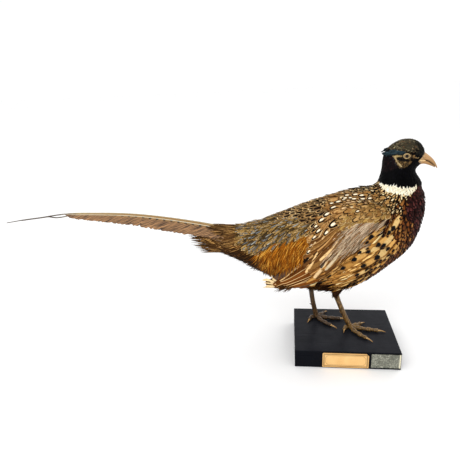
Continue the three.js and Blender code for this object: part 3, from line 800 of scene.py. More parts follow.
# %% Plumage table
PLUMAGE = {
    "crown": dict(gap=1.5, long=5.2, half=1.35, tip=0.3, stand=0.25, cut="small", piece="coat_head",
        heart=["#8a7f62", "#6c6450", "#94765a", "#5a5443", "#a3987a"], band=["#5a5240", "#4a4436"],
        rim=["#2e2b21", "#1f1c16"], at=(0.52, 0.26)),
    "forehead": dict(gap=1.5, long=4.6, half=1.15, tip=0.4, stand=0.12, cut="small", piece="coat_head",
        heart=["#34322b", "#423d32", "#262520"], band=["#262520"], rim=["#0a0a0b"], at=(0.5, 0.2)),
    "tuft": dict(gap=1.4, long=9, half=1.2, tip=0.5, stand=0.2, cut="small", piece="coat_head",
        heart=["#475d66", "#38494f", "#5a6c72"], band=["#2f4148"], rim=["#151f25"], at=(0.5, 0.22)),
    "nape": dict(gap=1.9, long=7.5, half=1.9, tip=0.3, stand=0.2, cut="small", piece="coat_head",
        heart=["#241015", "#1a0c10", "#2e161a"], band=["#140b10"], rim=["#0a0609"], at=(0.5, 0.2)),
    "throat": dict(gap=1.9, long=7.5, half=1.9, tip=0.3, stand=0.2, cut="small", piece="coat_head",
        heart=["#1c0e12", "#110a0e"], band=["#10090c"], rim=["#080507"], at=(0.5, 0.2)),
    "neck": dict(gap=1.9, long=8, half=2.1, tip=0.25, stand=0.15, cut="small", piece="coat_neck",
        heart=["#040308", "#070510", "#050307"], band=["#040307"], rim=["#020204"], at=(0.5, 0.2)),
    "ring": dict(gap=1.7, long=8.5, half=2.0, tip=0.5, stand=0.3, cut="vane", piece="coat_ring",
        heart=["#fffaea", "#fbf2da"], band=["#f8efd6"], rim=["#e6d8b4"], at=(0.4, 0.15)),
    "mantle": dict(gap=2.9, long=12, half=2.6, tip=0.4, stand=0.5, cut="vane", piece="coat_mantle", toss=0.36,
        heart=["#e7ca97", "#f6e3ba", "#c9a36e"], band=["#b08e5b"], rim=["#0a0502", "#150c05"], at=(0.62, 0.48),
        mark=("#0a0603", 0.93, 0.15, 0.5)),
    "breast_front": dict(gap=3.7, long=13, half=4.0, tip=0.1, stand=0.4, cut="vane", piece="coat_breast",
        toss=0.2, heart=["#542824", "#3d1e1a", "#6c3d39"], band=["#361613"], rim=["#0d0404"], at=(0.50, 0.27)),
    "breast_side": dict(gap=4.6, long=16.5, half=4.7, tip=0.2, stand=0.5, cut="vane", piece="coat_breast",
        toss=0.24, heart=["#9c6d3a", "#b4864e", "#855228", "#6e4424"], band=["#6e4220"], rim=["#100502"],
        at=(0.56, 0.35), mark=("#120603", 0.98, 0.13, 0.45)),
    "flank_front": dict(gap=5.0, long=20, half=4.4, tip=0.3, stand=0.9, cut="vane", piece="coat_flanks",
        toss=0.24, heart=["#a68757", "#926f41", "#825f32"], band=["#724e27"], rim=["#331d0e", "#54371b"],
        at=(0.5, 0.28), mark=("#0c0808", 0.92, 0.2, 0.85), marked=0.8, show=0.8),
    "flank": dict(gap=6.2, long=38, half=4.4, tip=0.75, stand=1.4, cut="vane", piece="coat_flanks", toss=0.2,
        heart=["#efc885", "#d4a460", "#f8e0ab", "#c29152"], band=["#bd8c49", "#a5763b"],
        rim=["#724d24", "#ab7d40", "#8f6230"], at=(0.46, 0.2), show=0.88),
    "shoulder": dict(gap=4.9, long=17, half=4.4, tip=0.3, stand=0.7, cut="vane", piece="coat_wings", toss=0.24,
        heart=["#dcb680", "#f0d0a2", "#bb9867", "#f6e2b9"], band=["#a57e51", "#8c6942"],
        rim=["#1f1009", "#3d2414", "#150b06"], at=(0.46, 0.22)),
    "scapular": dict(gap=6.2, long=24, half=5.4, tip=0.3, stand=0.8, cut="vane", piece="coat_wings",
        heart=["#b9905c", "#a27a4a", "#c9a26c"], band=["#8a6236", "#a87c48"],
        rim=["#4a2c14", "#cfa870", "#6e4a26", "#d8b682"], at=(0.5, 0.2)),
    "tan_covert": dict(gap=4.6, long=16, half=4.0, tip=0.3, stand=0.7, cut="vane", piece="coat_wings",
        heart=["#a5824e", "#b8975a", "#8f6c3c"], band=["#8c683c", "#9c7648", "#75512b"],
        rim=["#d9bf8a", "#c8aa72", "#b4945c"], at=(0.46, 0.24)),
    "grey_covert": dict(gap=2.5, long=24, half=1.2, tip=0.8, stand=1.0, cut="lock", piece="coat_wings",
        heart=["#cfb89c", "#a49079", "#847362", "#e3cdb2", "#ac7c4a", "#926135"], band=["#9c886e"],
        rim=["#eed7ba", "#bfa88b", "#756049"], at=(0.5, 0.25)),
    "back": dict(gap=5.2, long=21, half=4.7, tip=0.4, stand=0.9, cut="vane", piece="coat_back",
        heart=["#130804", "#211309", "#2e1b0e"], band=["#e9cc9b", "#cca876", "#aa885c"],
        rim=["#816943", "#624e32", "#9c7f52"], at=(0.50, 0.31)),
    "rump": dict(gap=3.7, long=22, half=2.9, tip=0.55, stand=1.0, cut="vane", piece="coat_rump",
        heart=["#a2a29b", "#888a89", "#a98c57", "#b69760", "#4e3e26", "#7d7b77"],
        band=["#2d2215", "#80653a", "#4e3c24"], rim=["#b18e55", "#c4a777", "#80693f", "#614d2b"],
        at=(0.56, 0.34)),
    "rust": dict(gap=2.4, long=36, half=1.2, tip=1.0, stand=1.5, cut="lock", piece="coat_rust",
        heart=["#cc8a2c", "#b4721e", "#dca040", "#9a5c14", "#e8b65a"], band=["#965c16"],
        rim=["#5c340a", "#875414"], at=(0.5, 0.26), show=0.5),
    "under_rump": dict(gap=3.0, long=30, half=1.6, tip=0.95, stand=1.6, cut="lock", piece="coat_rust",
        heart=["#5a3c1a", "#46300f", "#8b6030", "#6e4a20"], band=["#3c260e"], rim=["#221405"], at=(0.5, 0.24)),
    "tail_covert": dict(gap=3.0, long=46, half=1.6, tip=1.0, stand=1.6, cut="lock", piece="coat_tail_coverts",
        heart=["#8b6a40", "#ac8752", "#5f4526", "#c49c66", "#76552f"], band=["#5a3d20"],
        rim=["#2f2010", "#4a3218"], at=(0.5, 0.28)),
    "belly": dict(gap=4.0, long=22, half=2.3, tip=0.85, stand=1.2, cut="lock", piece="coat_under",
        heart=["#3a1f14", "#4c2b1a", "#5e3a22"], band=["#341c10"], rim=["#1c0e08"], at=(0.5, 0.2)),
    "thigh": dict(gap=2.9, long=15, half=1.7, tip=0.8, stand=0.8, cut="lock", piece="coat_under",
        heart=["#4a2d18", "#5a3820", "#35200f"], band=["#35200f"], rim=["#20120a"], at=(0.5, 0.2)),
}
print("kinds of feather:", len(PLUMAGE))

# %% [markdown]
# ## Roots
#
# Feathers stand apart from each other by a fairly even distance, but never in a perfect grid. Dart
# throwing gives that: take random points on the skin, and keep one only if no root kept before it
# is nearer than its tract's gap.

# %% Throw the darts
surface = BVHTree.FromPolygons(spots.tolist(), [list(p.vertices) for p in whole.polygons])
soft_normals = read(whole, "normal")
face_normals = unit(np.array([soft_normals[list(p.vertices)].mean(0) for p in whole.polygons]))


def settle(points):
    """The nearest place on the skin for each point, and the skin's direction outwards there."""
    places, ways = np.empty_like(points), np.empty_like(points)
    for i, point in enumerate(points):
        place, _, face, _ = surface.find_nearest(point)
        places[i], ways[i] = place, face_normals[face]
    return places, ways


whole.calc_loop_triangles()
triangles = np.zeros(len(whole.loop_triangles) * 3, np.int32)
whole.loop_triangles.foreach_get("vertices", triangles)
a, b, c = (spots[triangles.reshape(-1, 3)[:, k]] for k in range(3))
areas = np.linalg.norm(np.cross(b - a, c - a), axis=1) / 2
DARTS = 300000
pick = chance.choice(len(areas), DARTS, p=areas / areas.sum())
u, v = chance.random((2, DARTS))
flip = u + v > 1
u[flip], v[flip] = 1 - u[flip], 1 - v[flip]
thrown = a[pick] + u[:, None] * (b - a)[pick] + v[:, None] * (c - a)[pick]
thrown_out = unit(np.cross(b - a, c - a))[pick]
# What a feather looks like is decided where it shows, about two thirds of the way along it.
root_tract = tract_of(thrown)
reach = np.array([PLUMAGE[kind]["long"] * PLUMAGE[kind].get("show", 0.62) if kind in PLUMAGE else 0
                  for kind in root_tract])
thrown_tract = tract_of(thrown + lie_at(thrown, thrown_out) * reach[:, None], ragged=0.5)
thrown_tract[root_tract == "face"] = "face"
thrown_tract[root_tract == "cere"] = "cere"
thrown_tract[(root_tract == "wing_inner") & (thrown_tract == "rust")] = "wing_inner"
roots = {}
for kind in PLUMAGE:
    mine = np.flatnonzero(thrown_tract == kind)
    gap = PLUMAGE[kind]["gap"]
    cells, kept = {}, []
    for n in mine[: int(9 * areas.sum() / gap ** 2)]:
        p = thrown[n]
        key = tuple((p // gap).astype(int))
        close = (cells.get((key[0] + i, key[1] + j, key[2] + k), ())
                 for i in (-1, 0, 1) for j in (-1, 0, 1) for k in (-1, 0, 1))
        if all(((p - q) ** 2).sum() >= gap * gap for cell in close for q in cell):
            cells.setdefault(key, []).append(p)
            kept.append(n)
    roots[kind] = thrown[kept]
print({kind: len(at) for kind, at in roots.items()}, "skin area cm2:", round(areas.sum() / 100))

# %% [markdown]
# ## Keratin of the feathers
#
# A feather is keratin, the stuff of horn and nails, split into fine barbs that run slantwise from
# the shaft. That gives a soft, slightly silky surface: little gloss, and a fine streak along the
# barbs. The barbs of a small feather lie some 0.3 mm apart, too fine to show here, so the streaks
# are drawn about four times coarser. The marking is built from the numbers each point carries: how
# deep it lies inside the feather's edge, and where it lies along and across.

# %% Feather material
def feather_material(name, streak=0.26, **sockets):
    made, tree, shader = blank_material(name, **sockets)

    def told(key, output="Vector"):
        return put(tree, "Attribute", attribute_name=key).outputs[output]

    vane = put(tree, "SeparateXYZ", {"Vector": told("vane")})
    at = put(tree, "SeparateXYZ", {"Vector": told("bands")})
    barbs = put(tree, "TexNoise", {"Vector": told("barbs"), "Scale": 1.0, "Detail": 2.0})
    wander = put(tree, "MapRange", {"Value": barbs, 1: 0.25, 2: 0.75, 3: -0.07, 4: 0.07})
    depth_in = put(tree, "Math", {0: vane.outputs["Z"], 1: wander}, operation="ADD")
    ahead = put(tree, "Math", {0: vane.outputs["Y"], 1: at.outputs["Z"]}, operation="SUBTRACT")
    ahead = put(tree, "MapRange", {"Value": ahead, 1: -0.08, 2: 0.08})  # some are bordered at the tip only
    colour = told("heart", "Color")
    for limit, key in ((at.outputs["X"], "band"), (at.outputs["Y"], "rim")):
        past = put(tree, "Math", {0: limit, 1: depth_in}, operation="SUBTRACT")
        amount = put(tree, "MapRange", {"Value": past, 1: -0.05, 2: 0.05}, **SOFTLY)
        amount = put(tree, "Math", {0: amount, 1: ahead}, operation="MULTIPLY")
        colour = put(tree, "Mix", {0: amount, 6: colour, 7: told(key, "Color")},
                     **COLOURS)
    mark = put(tree, "SeparateXYZ", {"Vector": told("mark_place")})
    along = put(tree, "Math", {0: vane.outputs["Y"], 1: mark.outputs["X"]}, operation="SUBTRACT")
    along = put(tree, "Math", {0: along, 1: mark.outputs["Y"]}, operation="DIVIDE")
    across = put(tree, "Math", {0: vane.outputs["X"], 1: mark.outputs["Z"]}, operation="DIVIDE")
    around = put(tree, "CombineXYZ", {"X": along, "Y": across})
    far = put(tree, "VectorMath", {0: around}, operation="LENGTH")
    rough_far = put(tree, "Math", {0: wander, 1: 4.2, 2: far.outputs["Value"]}, operation="MULTIPLY_ADD")
    spot = put(tree, "MapRange", {"Value": rough_far, 1: 0.85, 2: 1.08, 3: 1.0, 4: 0.0},
               **SOFTLY)
    colour = put(tree, "Mix", {0: spot, 6: colour, 7: told("mark", "Color")}, **COLOURS)
    light = put(tree, "MapRange", {"Value": barbs, 1: 0.25, 2: 0.75, 3: 1 - streak, 4: 1 + streak})
    colour = put(tree, "Mix", {0: 1.0, 6: colour, 7: light}, **TIMES)
    relief = put(tree, "Bump", {"Height": barbs, "Distance": 0.0002, "Strength": 0.5})
    feed(tree, colour, shader.inputs["Base Color"])
    feed(tree, relief, shader.inputs["Normal"])
    return made


soft_keratin = feather_material("feather_keratin", Roughness=0.62, IOR=1.54, Specular_IOR_Level=0.06)
dark_keratin = feather_material("glossy_neck_feather_keratin", Roughness=0.5, IOR=1.54, Specular_IOR_Level=0.04)
barb_keratin = feather_material("loose_barb_keratin", streak=0.34, Roughness=0.7, IOR=1.54,
                                Specular_IOR_Level=0.06)
print("feather materials:", soft_keratin.name, dark_keratin.name, barb_keratin.name)

# %% [markdown]
# ## Laying the feathers
#
# Each shaft is walked over the skin from its root in short steps that follow the lie, rising from
# the skin to the coat's full depth at the tip, so that every feather rests on those behind it like
# a tile. Across the shaft the vane is cambered. Small random turns, tilts and nicks keep the rows
# from looking machined.

# %% Lay the coat
TAIL_ROOT = spots[:, 0].min() + 20
TAIL_AXIS = 200.0  # height of the tail's middle line


def depth_at(places):
    """The depth of the coat at places on the skin."""
    return np.array([coat_depth[coat_map.find(p)[1]] for p in places])


def shafts(root, aim, length, low, high, t):
    """Points, outward ways and headings along each shaft, walked over the skin."""
    place, out = settle(root)
    path, outs, ways = [], [], []
    heading = unit(aim - out * (aim * out).sum(1, keepdims=True))
    for k in range(len(t)):
        rise = low + (high - low) * t[k]
        path.append(place + out * rise[:, None])
        outs.append(out)
        ways.append(heading)
        if k + 1 < len(t):
            moved = place + heading * (length * (t[k + 1] - t[k]))[:, None]
            place, new_out = settle(moved)
            out = unit(0.5 * out + 0.5 * new_out)
            flow = lie_at(place, out)
            # Past the root of the tail there is no skin: the shafts run on beside the tail.
            past = moved[:, 0] < TAIL_ROOT
            place[past] = moved[past]
            out[past] = unit(moved[past] * (0, 1, 1) - (0, 0, TAIL_AXIS))
            rising = np.interp(moved[past, 2], (188, 216), (0.42, 0.17))
            flow[past] = unit(np.stack([-np.ones(past.sum()), -0.004 * moved[past, 1], rising], 1))
            heading = unit(0.75 * heading + 0.25 * flow)
            heading = unit(heading - out * (heading * out).sum(1, keepdims=True))
    return np.stack(path, 1), np.stack(outs, 1), np.stack(ways, 1)


def lay(cut, root, aim, length, half, tip, low, high, stand):
    return vanes(cut, *shafts(root, aim, length, low, high, cut.t), length, half, tip, stand)


def vanes(cut, path, out, way, length, half, tip, stand):
    """Builds one cambered vane round each shaft."""
    count, rows, cols = len(path), len(cut.t), len(cut.s)
    side = unit(np.cross(out, way))
    width = half[:, None] * width_along(cut.t[None], tip)
    at_edge = (abs(cut.s) > 0.9) * (cut.t > 0.3)[:, None]
    nick = 1 + 0.10 * chance.normal(size=(count, rows, cols)).clip(-2, 2) * at_edge
    across = cut.s[None, None] * width[:, :, None] * nick
    roll = chance.normal(0, 0.10, (count, 1, 1))
    camber = -0.22 * cut.s[None, None] ** 2 * width[:, :, None] + roll * across
    rise = camber + (stand[:, None] * cut.t[None] ** 3)[:, :, None]
    points = path[:, :, None] + side[:, :, None] * across[..., None] + out[:, :, None] * rise[..., None]
    faces = (np.arange(count)[:, None, None] * rows * cols + cut.faces[None]).reshape(-1, 4)
    along = cut.t[None, :, None] * length[:, None, None] + 0 * across
    barbs = np.stack([0.35 * (along + 0 * across), 1.3 * (along - 0.9 * abs(across)),
                      np.broadcast_to(np.arange(count)[:, None, None] * 7.3, across.shape)], -1)
    vane = np.stack(np.broadcast_arrays(cut.s[None, None] + 0 * across, cut.t[None, :, None] + 0 * across,
                                        cut.edge[None] + 0 * across), -1)
    return points.reshape(-1, 3), faces, vane.reshape(-1, 3), barbs.reshape(-1, 3)


def each(values, cut):
    """One value per feather, repeated for all of its points."""
    return np.repeat(np.asarray(values), len(cut.t) * len(cut.s), axis=0)


def choose(codes, count):
    # Fine barbs scatter white light and pale a feather, so its pigment is a little deeper than it looks.
    colours = np.array([linear(code) for code in codes]) ** 1.2
    return colours[chance.integers(0, len(codes), count)]


def shaded(colours, amount):
    factor = 1 + amount * chance.normal(size=(len(colours), 1)).clip(-2, 2)
    return np.concatenate([colours[:, :3] * factor, colours[:, 3:]], 1).clip(0, 1)


EVERYWHERE = -1.0  # where along a feather its band and rim start: from before the root on
PLAIN = (0.5, 0.2, EVERYWHERE)
NO_MARK = ("#000000", 9.0, 0.1, 0.1)
WEB = ("heart", "band", "rim")


def markings(cut, vane, barbs, plume, bands=PLAIN, spread=0.11):
    """The numbers every point of a feather carries for its material."""
    count, mark = len(vane) // (len(cut.t) * len(cut.s)), plume.get("mark", NO_MARK)
    spot = np.tile(mark[1:], (count, 1)).astype(float)
    spot[chance.random(count) > plume.get("marked", 1), 0] = NO_MARK[1]
    told = {"vane": vane, "barbs": barbs, "bands": each(np.broadcast_to(bands, (count, 3)), cut),
            "mark_place": each(spot, cut), "mark": each(np.tile(linear(mark[0]), (count, 1)), cut)}
    for key in WEB:
        told[key] = each(shaded(choose(plume[key], count), spread), cut)
    return told


pieces = {}


def add_feathers(name, cut, place, laid, plume, *more):
    """Puts feathers that are laid on one part of the coat, and gives the numbers they carry."""
    points, faces, vane, barbs = laid
    numbers = markings(cut, vane, barbs, plume, *more)
    pieces.setdefault(name, []).append((cut, place, points, faces, numbers))
    return numbers


def dim(numbers, cut, amount):
    """Makes each feather lighter or darker."""
    for key in WEB:
        numbers[key][:, :3] *= each(amount, cut)[:, None]


print("a feather without a mark carries", NO_MARK)

# %% [markdown]
# The table is now laid kind by kind. Three kinds also change over the body: the crown darkens to
# the bill and over the eye, painted light lifts the coverts low under the tail, and painted shade darkens the rust
# side below.

# %% Lay every kind
for kind, plume in PLUMAGE.items():
    root = roots[kind]
    if not len(root):
        continue
    count, cut = len(root), CUTS[plume["cut"]]
    place, out = settle(root)
    aim = lie_at(place, out)
    aim = unit(aim + plume.get("toss", 0.13) * chance.normal(size=(count, 3)))
    deep = depth_at(place)
    length = plume["long"] * chance.uniform(0.86, 1.12, count)
    half = plume["half"] * chance.uniform(0.9, 1.1, count)
    stand = plume["stand"] * chance.uniform(0.2, 1.0, count)
    high = deep * chance.uniform(0.82, 0.98, count)
    laid = lay(cut, root, aim, length, half, plume["tip"], 0.12 * deep, high, stand)
    bands = np.tile((*plume["at"], EVERYWHERE), (count, 1))
    bands[:, :2] += chance.normal(0, 0.03, (count, 2))
    numbers = add_feathers(plume["piece"], cut, place, laid, plume, bands)
    if kind == "crown":
        dusk = np.clip((106 - place[:, 0] + 2.5 * chance.normal(size=count)) / 12, 0.14, 1)
        dusk *= np.clip((place[:, 2] - 339 + 1.5 * chance.normal(size=count)) / 5, 0.4, 1)
        pale = (chance.random(count) < 0.05) & (place[:, 2] < 350)
        dim(numbers, cut, np.where(pale, 2.6, dusk))
    # Painted light: the coverts low under the tail are made lighter against the shade there.
    if kind == "tail_covert":
        dim(numbers, cut, np.where(place[:, 2] < 204, 1.9, 1.1))
    # Painted shade: the rust side darkens towards the bottom, under the body.
    if kind == "rust":
        dim(numbers, cut, np.clip(0.22 + (place[:, 2] - 148) / 52, 0.22, 1.15))
print({name: len(parts) for name, parts in pieces.items()})

# %% [markdown]
# The rows of feathers of one part of the coat are joined to one mesh, and each feather gets its own
# patch of the texture. The loose barbs of the soft parts and the glossy neck have their own keratin.

# %% One mesh from many rows
FINISH = {"coat_neck": dark_keratin, "coat_rust": barb_keratin, "coat_tail_coverts": barb_keratin,
          "coat_under": barb_keratin}


def coat_piece(name, parts, finish):
    corner = free_cells(sleeve(np.concatenate([place for _, place, *_ in parts])))
    points, faces, uv, numbers, first, seen = [], [], [], {}, 0, 0
    for cut, place, spots_here, faces_here, told in parts:
        here = corner[seen:seen + len(place)]
        seen += len(place)
        patch = np.stack([0.5 + 0.5 * told["vane"][:, 0], told["vane"][:, 1]], 1) * PATCH
        uv.append(each(here, cut) + patch)
        points.append(spots_here)
        faces.append(faces_here + first)
        first += len(spots_here)
        for key, values in told.items():
            numbers.setdefault(key, []).append(values)
    numbers = {key: np.concatenate(values) for key, values in numbers.items()}
    made = piece_from(name, np.concatenate(points), np.concatenate(faces), finish,
                      np.concatenate(uv), numbers)
    print(name, "feathers:", seen, "triangles:", 2 * len(made.data.polygons))
    return made


print("parts with a finish of their own:", sorted(FINISH))

# %% [markdown]
# ## Ear tufts
#
# Behind each eye a cock pheasant has a small horn of long narrow feathers that he can raise. They
# are too long to follow the skin, so each is laid along a curve drawn in the air: it starts low in
# the bundle and works its way to the outside.

# %% Lay the ear tufts
TUFT_LINE = spline([(83, 14.4, 341.0), (75, 16.6, 342.0), (66, 17.2, 341.6), (58, 15.6, 340.6), (52, 13.6, 340.0),
                    (46.5, 12.0, 339.8)], 60)
for way in (-1, 1):
    count, cut = 120, CUTS["small"]
    begin = chance.uniform(0, 0.74, count)
    until = np.clip(begin + chance.uniform(0.2, 0.32, count), 0, chance.uniform(0.9, 1.0, count))
    if way > 0:  # the left tuft lies closer to the nape
        begin, until = 0.72 * begin, 0.72 * until
    turn = chance.uniform(-2.3, 1.6, count)
    share = begin[:, None] + (until - begin)[:, None] * cut.t[None]
    line = np.stack([np.interp(share, np.linspace(0, 1, 60), TUFT_LINE[:, k]) for k in range(3)], -1) * (1, way, 1)
    girth = np.interp(share, [0, 0.25, 0.7, 1], [1.6, 2.5, 2.8, 2.3]) * (0.45 + 0.5 * chance.random((count, 1)))
    outward = np.stack([0.15 * np.ones(count), way * np.cos(turn), np.sin(turn)], 1)[:, None] + 0 * line
    path = line + outward * girth[..., None]
    heading = unit(np.gradient(path, axis=1))
    length = np.linalg.norm(np.diff(path, axis=1), axis=2).sum(1)
    laid = vanes(cut, path, unit(outward), heading, length, chance.uniform(1.1, 1.6, count), 0.1,
                 chance.uniform(0, 0.3, count))
    add_feathers("coat_head", cut, path[:, 0], laid, PLUMAGE["tuft"])
print("ear tuft feathers on each side:", count)

# %% [markdown]
# ## Bristles of the face
#
# The dried wattle is set with tiny bristly pegs, closer together than any feathers. They carry the
# face's colours in small sharp dots, which paint on the skin alone would blur.

# %% Lay the face bristles
root = thrown[(root_tract == "face") & (abs(thrown[:, 1]) > 9)]
fine = chance.random((len(root), 3)) * 0.6
extra = np.concatenate([root + shift for shift in (fine - 0.3, 0.3 - fine, fine[:, ::-1] - 0.3)])
root, seen = [], set()
for p in extra[chance.permutation(len(extra))]:
    cell = tuple((p / 0.72).astype(int))
    rho = math.hypot((p[0] - 84) / 6.6, (p[2] - 335.4) / 4.7)
    if cell not in seen and rho > 1 and inside(FACE_PLAN, p[:1], p[2:])[0]:
        seen.add(cell)
        root.append(p)
root = np.array(root)
count, cut = len(root), CUTS["small"]
place, out = settle(root)
aim = unit(lie_at(place, out) + 0.5 * chance.normal(size=(count, 3)))
laid = lay(cut, place, aim, chance.uniform(1.2, 2.0, count), chance.uniform(0.35, 0.55, count), 0.5,
           0.1 * np.ones(count), 0.35 * np.ones(count), chance.uniform(0.0, 0.3, count))
numbers = add_feathers("coat_head", cut, place, laid, PLUMAGE["tuft"])
dots = face_tone(place)[:, :3] * chance.choice((0.55, 0.9, 1.15), (count, 1))
for key, light in (("heart", 1.0), ("band", 0.9), ("rim", 0.7)):
    numbers[key][:, :3] = each(dots * light, cut)
print("face bristles:", count)

# %% [markdown]
# ## Feathers laid one by one
#
# Some feathers catch the eye one by one: the scapulars with a white drop in a black line, the
# coverts with a dark loop, and the gold flank feathers with an ink-black blot at the tip. A
# taxidermist grooms these singly, and here too each has its own place: where its marking lies in
# the side view, and its size.

# %% Lay the marked feathers
MARKED = {
    "white_drop": (dict(heart=["#b48c58", "#a27a4a"], band=["#0d0603", "#1a0d06"],
                        rim=["#c9a06a", "#dcb888", "#b58a54"],
                        mark=("#fdf0d0", 0.64, 0.17, 0.33)), "coat_wings", 21, 5.9, 0.45, (0.62, 0.16, 0.34),
                        0.66, [
        (-9.1, 274.1, .7), (1.4, 275, .7), (-1.3, 271.4, .85), (10.7, 273.1, .95), (19.7, 272.9, .9),
        (-4.7, 268, .85),
        (7.7, 268.3, .95), (20, 269.4, 1.0), (-15.4, 263.6, 1.15), (-25.9, 260.6, .75), (-22.9, 256.7, 1.1),
        (-33.1, 248.1, 1.2), (-40.7, 239.9, 1.15), (-24.5, 236.5, 1.3), (-46.3, 226.5, 1.0), (-52.2, 216.2, .9),
        (-57.5, 204.5, .75), (-61.5, 196, .8), (-35.4, 227, 1.0), (10.5, 258, .6), (-50.3, 231, .8),
        (31, 270.5, .8)]),
    "dark_loop": (dict(heart=["#b58e58", "#a47c48", "#c29e68"], band=["#190c06", "#2c180c"],
                       rim=["#c9a06a", "#b0884f"]),
                  "coat_wings", 15, 4.6, 0.45, (0.54, 0.14, 0.46), 0.75, [
        (-15.4, 247.3, 1.0), (5.1, 245.9, 1.2), (-7.4, 255.2, 1.1), (-37.8, 254, .8), (19.4, 256.8, .7),
        (28.6, 259.5, .8),
        (36.9, 261.8, .9), (13.8, 249, .7), (30.1, 249.2, .7), (23, 253.4, .7), (37.5, 252.6, .7),
        (43.2, 259.3, .8),
        (-2.5, 252.6, .8), (-4.6, 262, .8), (7.6, 254.8, .7), (46.5, 262.9, .8), (-30, 263, .7), (38, 268, 1.0),
        (28, 266, .9), (46, 270, .9), (12, 265, .9), (24, 276, .9), (52, 266, .9), (-14, 270, .9), (36, 273.5, .9),
        (1, 263.5, .9), (17, 263, .9), (-20, 268.5, .8), (51, 255, .7), (-27, 246, .8), (-20, 242, .7)]),
    "ink_blot": (dict(heart=["#d3a866", "#bf9150", "#dcbd84"], band=["#a87a3e"], rim=["#6d4820", "#a0743a"],
                      mark=("#08080b", 0.86, 0.19, 0.8)), "coat_flanks", 30, 8.6, 0.5, (0.4, 0.2, -1.0), 0.86, [
        (28, 221.8, 1.25), (23, 213.4, .6), (39.4, 209.6, .9), (47.6, 207.1, .9), (55.7, 199.9, .7),
        (54.2, 226.2, .8),
        (59.6, 232.7, .9), (25, 202.1, .4), (26.1, 196.5, .75), (13.7, 195.4, .65), (36.1, 191.8, 1.15),
        (5.8, 184.4, .95),
        (20.3, 174.4, 1.1), (-10.6, 169.8, .95), (12.6, 154.9, .7), (-33.5, 157.2, .8), (45.5, 181, .5),
        (33.1, 163.5, .5),
        (39.5, 166.2, .5), (34.6, 152.9, .5), (45.9, 168.8, .55), (23.1, 143.6, .45), (11.9, 140.9, .45),
        (52.7, 180, .5),
        (57.6, 189.2, .6), (63.9, 186.7, .5), (64.6, 195.1, .5), (13.4, 130.3, .5), (0, 122, .5)]),
}


def from_side(way, x, z):
    """The skin's place at a spot of the side view, or the nearest one where the view misses it."""
    hit = surface.ray_cast(Vector((x, way * 150, z)), Vector((0, -way, 0)))[0]
    return tuple(hit if hit is not None else surface.find_nearest(Vector((x, way * 25, z)))[0])


for kind, (plume, name, long, half, tip, bands, at, spots_at) in MARKED.items():
    plan = np.array(spots_at)
    for way in (-1, 1):
        cut, count, size = CUTS["vane"], len(plan), plan[:, 2]
        place = np.array([from_side(way, x, z) for x, z in plan[:, :2]])
        length = long * size ** (0.8 if kind != "ink_blot" else 0.5)
        for step in range(8):  # walk back along the lie, from the marking to the root
            place, out = settle(place)
            place = place - lie_at(place, out) * (length * at / 8)[:, None]
        place, out = settle(place)
        deep = depth_at(place)
        aim = unit(lie_at(place, out) + 0.06 * chance.normal(size=(count, 3)))
        laid = lay(cut, place, aim, length, half * size, tip, deep * 0.7, deep + 1.5,
                   chance.uniform(0.3, 0.8, count))
        add_feathers(name, cut, place, laid, plume, bands, 0.06)
    print(kind, "feathers on each side:", len(plan))

# %% [markdown]
# ## Trousers
#
# Short soft feathers run down from each thigh and close round the top of the bare shank. Each is
# drawn from a wide ring above the joint to a narrow one below it.

# %% Lay the trousers
for way, heel in ((-1, (-14.5, -15.5)), (1, (-55.5, 15.5))):
    count, cut = 200, CUTS["lock"]
    turn = chance.uniform(0, 2 * math.pi, count)
    spread = np.stack([np.cos(turn), np.sin(turn)], 1)
    top = chance.uniform(104, 116, count)
    low = top - chance.uniform(9, 16, count)
    share = cut.t[None, :, None]
    high = (top[:, None] + (low - top)[:, None] * cut.t[None])[..., None]
    wide = 10.6 - 5.2 * np.clip((112 - high) / 14, 0, 1.1)
    middle = np.array(heel) + np.stack([3.5 - 3.5 * np.clip((116 - top) / 12, 0, 1), 0 * top], 1)
    flat = middle[:, None] + spread[:, None] * wide * (1 - 0.05 * share) + (-1.6 * share ** 2 * np.array([1.0, 0]))
    path = np.concatenate([flat, high], 2)
    outward = np.concatenate([spread, np.full((count, 1), 0.25)], 1)[:, None] + 0 * path
    length = np.linalg.norm(np.diff(path, axis=1), axis=2).sum(1)
    laid = vanes(cut, path, unit(outward), unit(np.gradient(path, axis=1)), length,
                 chance.uniform(0.9, 1.6, count), 0.9, chance.uniform(0, 1.6, count))
    add_feathers("coat_under", cut, path[:, 0], laid, PLUMAGE["thigh"])
print("feathers in each trouser:", count)

# %% [markdown]
# ## Fringe under the wings
#
# Where the folded wing meets the body, a few dark locks hang below its lower edge, behind the thigh
# and in front of it. They start from the skin just above that edge, in two short runs, and point
# down and back.

# %% Lay the fringe under the wings
REAR_RUN, FRONT_RUN, FRINGE_HEIGHT = (-104, -84), (-54, -36), (122, 132)
for way in (-1, 1):
    count, cut = 70, CUTS["lock"]
    rear = chance.random(count) < 0.55
    x = np.where(rear, chance.uniform(*REAR_RUN, count), chance.uniform(*FRONT_RUN, count))
    place = np.array([from_side(way, a, b) for a, b in zip(x, chance.uniform(*FRINGE_HEIGHT, count))])
    aim = unit(np.array([-0.7, 0, -0.72]) + 0.25 * chance.normal(size=(count, 3)))
    laid = lay(cut, place, aim, chance.uniform(12, 22, count), chance.uniform(0.4, 0.8, count), 0.9,
               np.full(count, 1.5), chance.uniform(4, 9, count), chance.uniform(0, 1.6, count))
    add_feathers("coat_under", cut, place, laid, PLUMAGE["under_rump"])
print("fringe locks on each side:", count)

# %% [markdown]
# ## Stray barbs
#
# An old mount is never tidy. Handling and moth break the webs, so loose barbs stand out of the edges
# of the rump, vent and thighs. They are the same feathers again, much narrower, longer and lifted
# more from the skin.

